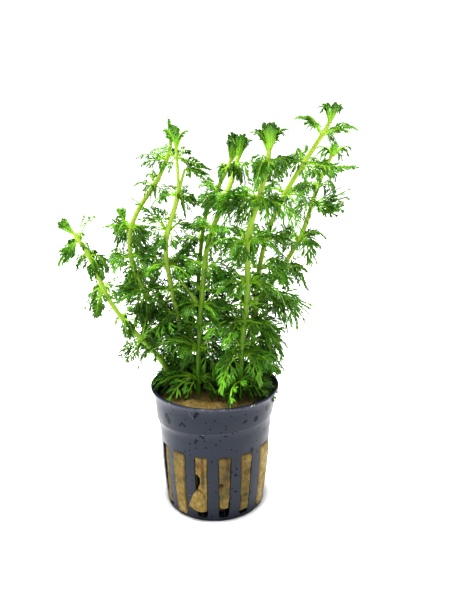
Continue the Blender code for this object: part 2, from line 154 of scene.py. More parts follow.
def slice_of(edges, height):
    """Return the corners of the ring where a level plane cuts a mesh."""
    below = edges[:, 0, 2] - height
    above = edges[:, 1, 2] - height
    cut = below * above < 0
    share = (below[cut] / (below[cut] - above[cut]))[:, None]
    return edges[cut, 0] + share * (edges[cut, 1] - edges[cut, 0])


def read_stem(name):
    """Return a stem's smooth centre line from its foot to its tuft, its radius and its plain tuft leaves."""
    bm = welded(name)
    tuft = plain_leaves(bm)
    head = np.mean([leaf.root for leaf in tuft], axis=0)
    edges = np.array([[tuple(v.co) for v in edge.verts] for edge in bm.edges])
    foot = edges[:, :, 2].min()
    heights = np.arange(foot + 0.2 * MM, head[2] - 1.2 * MM, SLICE_STEP)
    rings = [slice_of(edges, height) for height in heights]
    line = np.array([(ring.min(axis=0) + ring.max(axis=0)) / 2 for ring in rings] + [head])
    spans = np.array([ring.max(axis=0) - ring.min(axis=0) for ring in rings])
    radius = float(np.median(np.minimum(spans[:, 0] / 2, spans[:, 1] / math.sqrt(3))))
    for _ in range(SMOOTHING_PASSES):
        line[1:-1] = (line[:-2] + 2 * line[1:-1] + line[2:]) / 4
    bm.free()
    return StemLine(name, line, radius, tuft)


STEM_COUNT = sum(1 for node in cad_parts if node.startswith("stem_") and "whorl" not in node)
stem_lines = [read_stem("stem_%d" % n) for n in range(1, STEM_COUNT + 1)]
for line in stem_lines:
    print(line.name, "radius in mm:", round(line.radius / MM, 2), "plain tuft leaves:", len(line.tuft))

# %% [markdown]
# ## Colours and shader groups
# Wet plants and wet plastic look rich because no surface is one colour. Two small node groups are
# shared by several materials: one puts out soft cloudy noise, and one scatters fine specks.

# %% Shader helpers
NOISE_ROUGHNESS = 0.6


def new_group(name, inputs, outputs):
    """Make an empty node group. inputs and outputs are tuples of a name, a socket type and a value."""
    group = bpy.data.node_groups.new(name, 'ShaderNodeTree')
    for label, kind, value in inputs:
        socket = group.interface.new_socket(label, in_out='INPUT', socket_type=kind)
        socket.default_value = value
    for label, kind in outputs:
        group.interface.new_socket(label, in_out='OUTPUT', socket_type=kind)
    return group, group.nodes.new("NodeGroupInput"), group.nodes.new("NodeGroupOutput")


def math_node(tree, operation, first, second):
    """Add a Math node whose two inputs are sockets or numbers. It keeps its result between 0 and 1."""
    node = tree.nodes.new("ShaderNodeMath")
    node.operation = operation
    node.use_clamp = True
    for socket, value in zip(node.inputs, (first, second)):
        if isinstance(value, (int, float)):
            socket.default_value = value
        else:
            tree.links.new(value, socket)
    return node.outputs[0]


def mix_colours(tree, amount, first, second):
    """Add a colour Mix node. amount, first and second are sockets or values."""
    node = tree.nodes.new("ShaderNodeMix")
    node.data_type = 'RGBA'
    for socket, value in ((node.inputs["Factor"], amount), (node.inputs[6], first), (node.inputs[7], second)):
        if isinstance(value, bpy.types.NodeSocket):
            tree.links.new(value, socket)
        elif isinstance(value, (int, float)):
            socket.default_value = value
        else:
            socket.default_value = (*value, 1.0)
    return node.outputs[2]


def place_noise(tree, scale, detail=4.0, stretch=(1.0, 1.0, 1.0)):
    """Add a noise texture in the object's own coordinates, where it stays put on the surface."""
    coordinates = tree.nodes.new("ShaderNodeTexCoord")
    mapping = tree.nodes.new("ShaderNodeMapping")
    mapping.inputs["Scale"].default_value = stretch
    texture = tree.nodes.new("ShaderNodeTexNoise")
    texture.inputs["Scale"].default_value = scale
    texture.inputs["Detail"].default_value = detail
    texture.inputs["Roughness"].default_value = NOISE_ROUGHNESS
    tree.links.new(coordinates.outputs["Object"], mapping.inputs["Vector"])
    tree.links.new(mapping.outputs["Vector"], texture.inputs["Vector"])
    return texture.outputs["Fac"]


def length_of(tree, vector):
    """Add a node that measures a vector's length."""
    node = tree.nodes.new("ShaderNodeVectorMath")
    node.operation = 'LENGTH'
    tree.links.new(vector, node.inputs[0])
    return node.outputs["Value"]


def ramp(tree, value, low, high):
    """Stretch a value so that low becomes 0 and high becomes 1."""
    node = tree.nodes.new("ShaderNodeMapRange")
    node.inputs["From Min"].default_value = low
    node.inputs["From Max"].default_value = high
    tree.links.new(value, node.inputs["Value"])
    return node.outputs["Result"]


# %% Shared shader groups
def make_mottle_group():
    """Group that puts out a cloudy mask: patches about 1 / Scale metres across."""
    group, inside, outside = new_group(
        "mottle", [("Scale", 'NodeSocketFloat', 300.0), ("Contrast", 'NodeSocketFloat', 0.25)],
        [("Mask", 'NodeSocketFloat')])
    coordinates = group.nodes.new("ShaderNodeTexCoord")
    texture = group.nodes.new("ShaderNodeTexNoise")
    texture.inputs["Detail"].default_value = 5.0
    group.links.new(coordinates.outputs["Object"], texture.inputs["Vector"])
    group.links.new(inside.outputs["Scale"], texture.inputs["Scale"])
    spread = group.nodes.new("ShaderNodeMapRange")
    low = math_node(group, 'SUBTRACT', 0.5, inside.outputs["Contrast"])
    high = math_node(group, 'ADD', 0.5, inside.outputs["Contrast"])
    group.links.new(texture.outputs["Fac"], spread.inputs["Value"])
    group.links.new(low, spread.inputs["From Min"])
    group.links.new(high, spread.inputs["From Max"])
    group.links.new(spread.outputs["Result"], outside.inputs["Mask"])
    return group


def make_speck_group():
    """Group that puts out a mask of small round specks, about 1 / Scale metres apart."""
    group, inside, outside = new_group(
        "specks", [("Scale", 'NodeSocketFloat', 900.0), ("Size", 'NodeSocketFloat', 0.12),
                   ("Share", 'NodeSocketFloat', 0.4)],
        [("Mask", 'NodeSocketFloat')])
    coordinates = group.nodes.new("ShaderNodeTexCoord")
    cells = group.nodes.new("ShaderNodeTexVoronoi")
    group.links.new(coordinates.outputs["Object"], cells.inputs["Vector"])
    group.links.new(inside.outputs["Scale"], cells.inputs["Scale"])
    near = math_node(group, 'LESS_THAN', cells.outputs["Distance"], inside.outputs["Size"])
    chosen = group.nodes.new("ShaderNodeSeparateColor")
    group.links.new(cells.outputs["Color"], chosen.inputs["Color"])
    kept = math_node(group, 'LESS_THAN', chosen.outputs["Red"], inside.outputs["Share"])
    group.links.new(math_node(group, 'MULTIPLY', near, kept), outside.inputs["Mask"])
    return group


MOTTLE = make_mottle_group()
SPECKS = make_speck_group()
print("shared groups:", MOTTLE.name, "and", SPECKS.name)


# %% Material helpers
def use_group(tree, group, **values):
    """Place a shared group in a material and set its inputs."""
    node = tree.nodes.new("ShaderNodeGroup")
    node.node_tree = group
    for label, value in values.items():
        node.inputs[label].default_value = value
    return node.outputs["Mask"]


def attribute(tree, name):
    """Read a number that the mesh carries at each of its points."""
    node = tree.nodes.new("ShaderNodeAttribute")
    node.attribute_name = name
    return node.outputs["Fac"]


def new_material(name, roughness):
    """Make a material and return it with its node tree and its Principled shader."""
    material = bpy.data.materials.new(name)
    material.use_nodes = True
    tree = material.node_tree
    shader = tree.nodes["Principled BSDF"]
    shader.inputs["Roughness"].default_value = roughness
    return material, tree, shader


def add_translucency(shader, weight, reach, scale):
    """Dull the mirror shine and let light pass a little way in. The reach is a share for each colour."""
    shader.inputs["Specular IOR Level"].default_value = 0.2
    shader.inputs["Subsurface Weight"].default_value = weight
    shader.inputs["Subsurface Radius"].default_value = reach
    shader.inputs["Subsurface Scale"].default_value = scale


def add_bump(tree, shader, height, distance):
    """Feed a height to the shader's normal. The distance is how high the bumps look."""
    bump = tree.nodes.new("ShaderNodeBump")
    bump.inputs["Distance"].default_value = distance
    tree.links.new(height, bump.inputs["Height"])
    tree.links.new(bump.outputs["Normal"], shader.inputs["Normal"])


# %% [markdown]
# ## Leaf, stem, wool and plastic materials
# The leaves run from nearly black green deep in the bunch to fresh yellow green on young tips, so
# the mesh carries two numbers: shade, which differs from leaf to leaf and less from lobe to lobe, and
# rib, which is 1 along the midrib and 0 at the ends of the lobes. The dark end of shade is partly the
# leaves' own deep green and partly painted shade of the bunch's depths, and some leaves are made
# paler or darker as painted light and shade. The stems are paler towards their tips and greener near
# the pot, and some stems are made paler as painted light.

# %% Leaf material
# The darkest leaf green: partly the leaves' own deep colour, partly painted shade.
LEAF_DARK_AND_SHADED = (0.0026, 0.021, 0.0072)
LEAF_MIDDLE = (0.0285, 0.182, 0.023)
LEAF_FRESH = (0.150, 0.445, 0.037)
RIB_GREEN = (0.42, 0.72, 0.06)


def make_leaf_material():
    """Make the wet leaf green, which follows the shade and the rib of the mesh."""
    material, tree, shader = new_material("leaf_wet_green", 0.24)
    shade = attribute(tree, "shade")
    rib = attribute(tree, "rib")
    cloud = use_group(tree, MOTTLE, Scale=320.0, Contrast=0.25)
    amount = math_node(tree, 'ADD', math_node(tree, 'MULTIPLY', shade, 0.85),
                       math_node(tree, 'MULTIPLY', cloud, 0.15))
    dark_half = mix_colours(tree, math_node(tree, 'MULTIPLY', amount, 2.0), LEAF_DARK_AND_SHADED, LEAF_MIDDLE)
    blade = mix_colours(tree, ramp(tree, amount, 0.5, 1.0), dark_half, LEAF_FRESH)
    light_rib = math_node(tree, 'MULTIPLY', ramp(tree, rib, 0.0, 1.05), ramp(tree, shade, -0.6, 0.6))
    tree.links.new(mix_colours(tree, light_rib, blade, RIB_GREEN), shader.inputs["Base Color"])
    add_bump(tree, shader, place_noise(tree, 900.0), 0.03 * MM)
    add_translucency(shader, 0.25, (0.6, 1.0, 0.15), 0.5 * MM)
    return material


leaf_material = make_leaf_material()
print("made", leaf_material.name)

# %% Stem material
STEM_LOW = (0.11, 0.28, 0.014)
STEM_HIGH = (0.43, 0.57, 0.085)
STEM_VEIN = (0.26, 0.44, 0.02)


def make_stem_material():
    """Make the stem green: pale and yellow at the tip, darker near the pot, with faint long veins."""
    material, tree, shader = new_material("stem_wet_green", 0.28)
    height = attribute(tree, "height_share")
    along = mix_colours(tree, height, STEM_LOW, STEM_HIGH)
    veins = place_noise(tree, 1100.0, stretch=(1.0, 1.0, 0.08))
    faint = math_node(tree, 'MULTIPLY', ramp(tree, veins, 0.45, 0.75), 0.25)
    tree.links.new(mix_colours(tree, faint, along, STEM_VEIN), shader.inputs["Base Color"])
    add_bump(tree, shader, veins, 0.04 * MM)
    add_translucency(shader, 0.3, (0.8, 1.0, 0.2), 1.2 * MM)
    return material


stem_material = make_stem_material()
print("made", stem_material.name)

# %% Rock wool material
WOOL_COLOURS = ((0.10, (0.060, 0.038, 0.018)), (0.38, (0.17, 0.135, 0.048)), (0.62, (0.38, 0.275, 0.078)),
                (0.92, (0.68, 0.60, 0.36)))
WOOL_RUST = (0.36, 0.19, 0.04)


def make_wool_material():
    """Make the matted wool, which runs from wet brown to dry yellow with the tone of the mesh."""
    material, tree, shader = new_material("rock_wool_wet", 0.85)
    cloud = use_group(tree, MOTTLE, Scale=520.0, Contrast=0.2)
    fibres = ramp(tree, place_noise(tree, 1900.0, detail=6.0, stretch=(1.0, 1.0, 0.6)), 0.3, 0.7)
    uneven = math_node(tree, 'ADD', math_node(tree, 'MULTIPLY', cloud, 0.5),
                       math_node(tree, 'MULTIPLY', fibres, 0.5))
    amount = math_node(tree, 'ADD', math_node(tree, 'MULTIPLY', attribute(tree, "tone"), 0.6),
                       math_node(tree, 'MULTIPLY', uneven, 0.4))
    colours = tree.nodes.new("ShaderNodeValToRGB")
    stops = colours.color_ramp.elements
    while len(stops) < len(WOOL_COLOURS):
        stops.new(0.5)
    for stop, (place, colour) in zip(stops, WOOL_COLOURS):
        stop.position = place
        stop.color = (*colour, 1.0)
    tree.links.new(amount, colours.inputs["Fac"])
    rust = ramp(tree, place_noise(tree, 330.0, stretch=(1.0, 1.0, 0.45)), 0.46, 0.68)
    rusty = math_node(tree, 'MULTIPLY', rust, 0.55)
    tree.links.new(mix_colours(tree, rusty, colours.outputs["Color"], WOOL_RUST), shader.inputs["Base Color"])
    add_bump(tree, shader, fibres, 0.3 * MM)
    return material


wool_material = make_wool_material()
print("materials:", len(bpy.data.materials))

# %% [markdown]
# ## Pieces
# Every piece is one mesh with one material. It rides on the plant's only body, and the plain solid
# whose place it fills, if any, is hidden.

# %% Make a piece
CREASE_ANGLE = math.radians(96)


def make_piece(name, points, faces, material, nodes, numbers=None):
    """Make a smooth mesh piece from points and faces. numbers are values that it carries at its points."""
    mesh = bpy.data.meshes.new(name)
    mesh.from_pydata(np.asarray(points).tolist(), [], faces)
    mesh.validate()
    for label, values in (numbers or {}).items():
        layer = mesh.attributes.new(label, 'FLOAT', 'POINT')
        layer.data.foreach_set("value", np.asarray(values, dtype=np.float32))
    mesh.shade_smooth()
    mesh.set_sharp_from_angle(angle=CREASE_ANGLE)
    mesh.materials.append(material)
    piece = bpy.data.objects.new(name, mesh)
    bpy.context.scene.collection.objects.link(piece)
    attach(piece, "root")
    if nodes:
        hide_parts(*nodes)
    return piece


# %% [markdown]
# ## Leaf patterns
# A leaf of this plant is cut to the midrib into side lobes, and each lobe forks again into narrow
# straps. Drawing each leaf on its own would be slow, so a few flat patterns are drawn first, with
# every strap as a closed blade of three sides. Each real leaf is then one pattern, bent along its arch.

# %% Kinds of leaf
STRAP_SIDES = 3
STRAP_THICKNESS = 0.26
MIDRIB_THICKNESS = 1.0
MIDRIB_STEPS = 9
MIDRIB_END = 0.92
LAST_LOBE = 0.88
# The upper ridge of every strap is paler: partly its pale midline, partly a painted highlight.
PALE_MIDLINE_AND_HIGHLIGHT = 0.18
SUB_OPPOSITE = 0.03
LOBE_STEPS = 5
FINGER_STEPS = 3
END_STEPS = 3
STRAP_TONES = (-1.0, 0.8)

LeafKind = namedtuple("LeafKind", "pairs bare longest shortest spread width fingers foot neck",
                      defaults=(1.0, 0.7))
KINDS = {
    "cut": LeafKind(pairs=4, bare=0.36, longest=0.46, shortest=0.17, spread=40, width=0.58, fingers=4),
    "fine": LeafKind(pairs=5, bare=0.32, longest=0.46, shortest=0.15, spread=35, width=0.47, fingers=3,
                     foot=1.15),
    "hair": LeafKind(pairs=3, bare=0.50, longest=0.26, shortest=0.12, spread=36, width=0.54, fingers=1),
    "feather": LeafKind(pairs=9, bare=0.26, longest=0.24, shortest=0.08, spread=46, width=0.70, fingers=1,
                        foot=0.9, neck=0.8),
    "wad": LeafKind(pairs=6, bare=0.56, longest=0.24, shortest=0.15, spread=52, width=0.72, fingers=1,
                    foot=0.8),
    "parsley": LeafKind(pairs=3, bare=0.40, longest=0.40, shortest=0.20, spread=50, width=0.86, fingers=2,
                        foot=0.8),
    "petal": LeafKind(pairs=2, bare=0.76, longest=0.17, shortest=0.12, spread=40, width=1.0, fingers=0,
                      foot=0.4, neck=1.1),
    "arm": LeafKind(pairs=5, bare=0.32, longest=0.28, shortest=0.14, spread=50, width=0.85, fingers=1,
                    foot=0.8, neck=1.0),
    "inner": LeafKind(pairs=4, bare=0.34, longest=0.48, shortest=0.17, spread=38, width=0.6, fingers=2),
}
print("kinds of leaf:", ", ".join(KINDS))


# %% Add the straps of a pattern
def unit(vectors):
    """Return vectors scaled to length 1, for one vector or for rows of them."""
    return vectors / np.linalg.norm(vectors, axis=-1, keepdims=True)


class Pattern:
    """A flat leaf pattern. Its lines run from x 0 at the root to x 1 at the tip, with y across.

    A point is kept in two parts: the place on its strap's middle line, and the step from there to the
    strap's skin in strap widths, so that small and large leaves can have straps of nearly one width.
    Each strap has a tone, so that bright and dark lobes lie side by side and the midrib is brighter.
    """

    def __init__(self, seed):
        self.middles = []
        self.steps = []
        self.faces = []
        self.rib = []
        self.tone = []
        self.tone_draw = random.Random(seed)

    def strap(self, path, widths, rib_start, rib_end, thickness=STRAP_THICKNESS, brighter=0.0):
        """Add a closed blade along a path: its last point is the tip, and the others have a width each."""
        start = len(self.middles)
        rings = len(path) - 1
        for k in range(rings):
            along = unit(path[k + 1] - path[max(k - 1, 0)])
            across = np.array((-along[1], along[0], 0.0)) * widths[k] / 2
            up = np.array((0.0, 0.0, widths[k] * thickness / 2))
            self.middles += [path[k]] * STRAP_SIDES
            self.steps += [across - up / 2, up, -across - up / 2]
            rib = rib_start + (rib_end - rib_start) * k / rings
            # The upper ridge is paler: a pale midline with a painted highlight along it.
            self.rib += [rib, rib + PALE_MIDLINE_AND_HIGHLIGHT, rib]
        self.middles.append(path[-1])
        self.steps.append(np.zeros(3))
        self.rib.append(rib_end)
        tone = self.tone_draw.uniform(*STRAP_TONES) * (1.0 - brighter) + brighter
        self.tone += [tone] * (STRAP_SIDES * rings + 1)
        self.faces.append((start, start + 1, start + 2))
        for k in range(rings):
            low = start + STRAP_SIDES * k
            high = low + STRAP_SIDES
            for i in range(STRAP_SIDES):
                j = (i + 1) % STRAP_SIDES
                if k == rings - 1:
                    self.faces.append((low + i, high, low + j))
                else:
                    self.faces.append((low + i, high + i, high + j, low + j))


# %% Draw lobes and whole leaves
def curved_path(start, heading, length, turn, lift, steps):
    """Return a gently curved path across the leaf."""
    path = [np.array(start, dtype=float)]
    for k in range(steps):
        angle = heading + turn * (k + 0.5) / steps
        path.append(path[-1] + np.array((math.cos(angle), math.sin(angle), lift)) * length / steps)
    return path


def draw_lobe(pattern, start, heading, length, width, lift, fingers, draw):
    """Draw one lobe, which curves towards the leaf's tip, and the fingers that fork from its two sides."""
    side = math.copysign(1.0, heading)
    turn = -side * draw.uniform(0.25, 0.6)
    path = curved_path(start, heading, length, turn, lift, LOBE_STEPS)
    pattern.strap(path, (width * 0.7, width * 0.8, width * 0.9, width, width * 0.85), 0.45, 0.0)
    for k in range(fingers):
        knot = 1 + k
        away = side if k % 2 == 0 else -side
        finger_heading = heading + turn * knot / LOBE_STEPS + away * draw.uniform(0.35, 0.6)
        finger_length = length * (1.0 - knot / LOBE_STEPS) * draw.uniform(0.68, 0.9)
        finger = curved_path(path[knot], finger_heading, finger_length, -away * draw.uniform(0.15, 0.45),
                             lift + draw.uniform(-0.12, 0.12), FINGER_STEPS)
        pattern.strap(finger, (width * 0.65, width, width * 0.85), 0.2, 0.0)


def midrib_place(place, wander):
    """Return a point of the midrib, which wanders a little to one side."""
    return np.array((place, wander * math.sin(math.pi * place / MIDRIB_END), 0.0))


def draw_leaf(kind, seed):
    """Draw a flat leaf: the bare stalk, the lobes in pairs that shorten to the tip, and the end lobe."""
    draw = random.Random(seed)
    pattern = Pattern(seed)
    wander = draw.uniform(-0.03, 0.03)
    rib_path = [midrib_place(MIDRIB_END * k / MIDRIB_STEPS, wander) for k in range(MIDRIB_STEPS + 1)]
    rib_widths = [kind.foot + (kind.neck - kind.foot) * k / MIDRIB_STEPS for k in range(MIDRIB_STEPS)]
    pattern.strap(rib_path, rib_widths, 1.1, 0.2, MIDRIB_THICKNESS, brighter=0.9)
    for k in range(kind.pairs):
        share = k / (kind.pairs - 1)
        for side in (-1, 1):
            place = kind.bare + (LAST_LOBE - kind.bare) * share ** 0.9
            place += side * draw.uniform(0.2, 1.0) * SUB_OPPOSITE
            heading = side * (math.radians(kind.spread) * (1.1 - 0.5 * share) + draw.uniform(-0.12, 0.12))
            length = (kind.longest + (kind.shortest - kind.longest) * share ** 0.8) * draw.uniform(0.85, 1.12)
            fingers = max(0, round(kind.fingers * (1.0 - 0.7 * share) + draw.uniform(-0.3, 0.3)))
            width = (1.0 - 0.25 * share) * draw.uniform(0.85, 1.1)
            lift = draw.uniform(-0.3, 0.15)
            draw_lobe(pattern, midrib_place(place, wander), heading, length, width, lift, fingers, draw)
    end = curved_path(rib_path[-2], 0.0, kind.shortest * 1.3, draw.uniform(-0.4, 0.4), 0.0, END_STEPS)
    pattern.strap(end, (0.6, 0.75, 0.6), 0.2, 0.0)
    return (np.array(pattern.middles), np.array(pattern.steps) * (kind.width * MM), pattern.faces,
            np.array(pattern.rib), np.array(pattern.tone))


PATTERNS_PER_KIND = 9
patterns = {label: [draw_leaf(kind, 100 * number + k) for k in range(PATTERNS_PER_KIND)]
            for number, (label, kind) in enumerate(KINDS.items(), 1)}
for kind_name, drawn in patterns.items():
    print(kind_name, "leaf, faces:", len(drawn[0][2]))

# %% [markdown]
# ## Bending a pattern along an arch
# The arch is sampled at many points, each with its own direction, side and upper side. A pattern's
# point at x is carried to the sample at x and moved sideways and upwards there, so the whole leaf
# bends, twists and curls without tearing.

# %% Bend leaves and collect them
ARCH_SAMPLES = 33
CURL_FROM = 0.5
USUAL_LENGTH = 12 * MM
SMALL_LEAF_WIDTH = 0.65
LOBE_CONTRAST = 0.3
LEAF_CONTRAST = 0.14
UP = np.array((0.0, 0.0, 1.0))

Bend = namedtuple("Bend", "curl twist fold sway breadth")


def arch_of(leaf, bend):
    """Return the arch's sample points, its sides and its upper sides."""
    s = np.linspace(0.0, 1.0, ARCH_SAMPLES)[:, None]
    points = leaf.root + leaf.start * s + leaf.bend * s ** 2 + leaf.late * s ** 3
    beyond = np.clip(s - CURL_FROM, 0.0, None)
    points = points - leaf.over * bend.curl * leaf.length * beyond * beyond
    points = points + leaf.side * bend.sway * leaf.length * s * s
    along = unit(np.gradient(points, axis=0))
    side = unit(leaf.side - along * (along @ leaf.side)[:, None])
    over = np.cross(along, side)
    if np.mean(over @ leaf.over) < 0:
        over = -over
    turn = bend.twist * s
    twisted = side * np.cos(turn) + over * np.sin(turn)
    raised = over * np.cos(turn) - side * np.sin(turn)
    return points, twisted, raised


class LeafBatch:
    """Collects bent leaves until they are made into one piece."""

    def __init__(self):
        self.points = []
        self.faces = []
        self.rib = []
        self.shade = []
        self.count = 0
        self.tone_draw = random.Random(11)

    def add(self, pattern, leaf, bend, shade, pale_foot=0.0):
        """Bend one pattern along a leaf and keep it. The pale foot is how much fresher its root is."""
        middles, steps, faces, rib, tone = pattern
        strap_width = SMALL_LEAF_WIDTH + (1.0 - SMALL_LEAF_WIDTH) * leaf.length / USUAL_LENGTH
        flat = middles + steps * strap_width / leaf.length
        s = np.clip(flat[:, 0], 0.0, 1.0)
        grid = np.linspace(0.0, 1.0, ARCH_SAMPLES)
        place, across, up = (np.stack([np.interp(s, grid, rows[:, i]) for i in range(3)], axis=1)
                             for rows in arch_of(leaf, bend))
        y = flat[:, 1] * leaf.length * bend.breadth
        z = flat[:, 2] * leaf.length - bend.fold * np.abs(y)
        moved = place + across * y[:, None] + up * z[:, None]
        shade = shade + LEAF_CONTRAST * self.tone_draw.uniform(-1.0, 1.0)
        self.faces += [tuple(i + self.count for i in face) for face in faces]
        self.points.append(moved)
        self.rib.append(rib)
        self.shade.append(np.clip(shade + pale_foot * (1.0 - s) + LOBE_CONTRAST * tone, 0.0, 1.0))
        self.count += len(moved)

    def piece(self, name, nodes):
        """Make the collected leaves into one piece."""
        numbers = {"rib": np.concatenate(self.rib), "shade": np.concatenate(self.shade)}
        points = np.concatenate(self.points)
        return make_piece(name, points, self.faces, leaf_material, nodes, numbers)


def rotation(angle, axis):
    """Return a rotation as an array that can be multiplied by places."""
    return np.array(Matrix.Rotation(angle, 3, Vector(axis)))


def varied(leaf, centre, axis, turn, rise, scale):
    """Return a leaf turned round its stem, raised about its root and made longer or shorter."""
    spin = rotation(turn, axis)
    start = spin @ leaf.start
    lift = rotation(rise, unit(np.cross(start, UP)))
    side = lift @ spin @ leaf.side
    over = lift @ spin @ leaf.over
    return PlainLeaf(spin @ (leaf.root - centre) + centre, lift @ start * scale, spin @ leaf.bend * scale,
                     side, over, leaf.length * scale, spin @ leaf.late * scale)
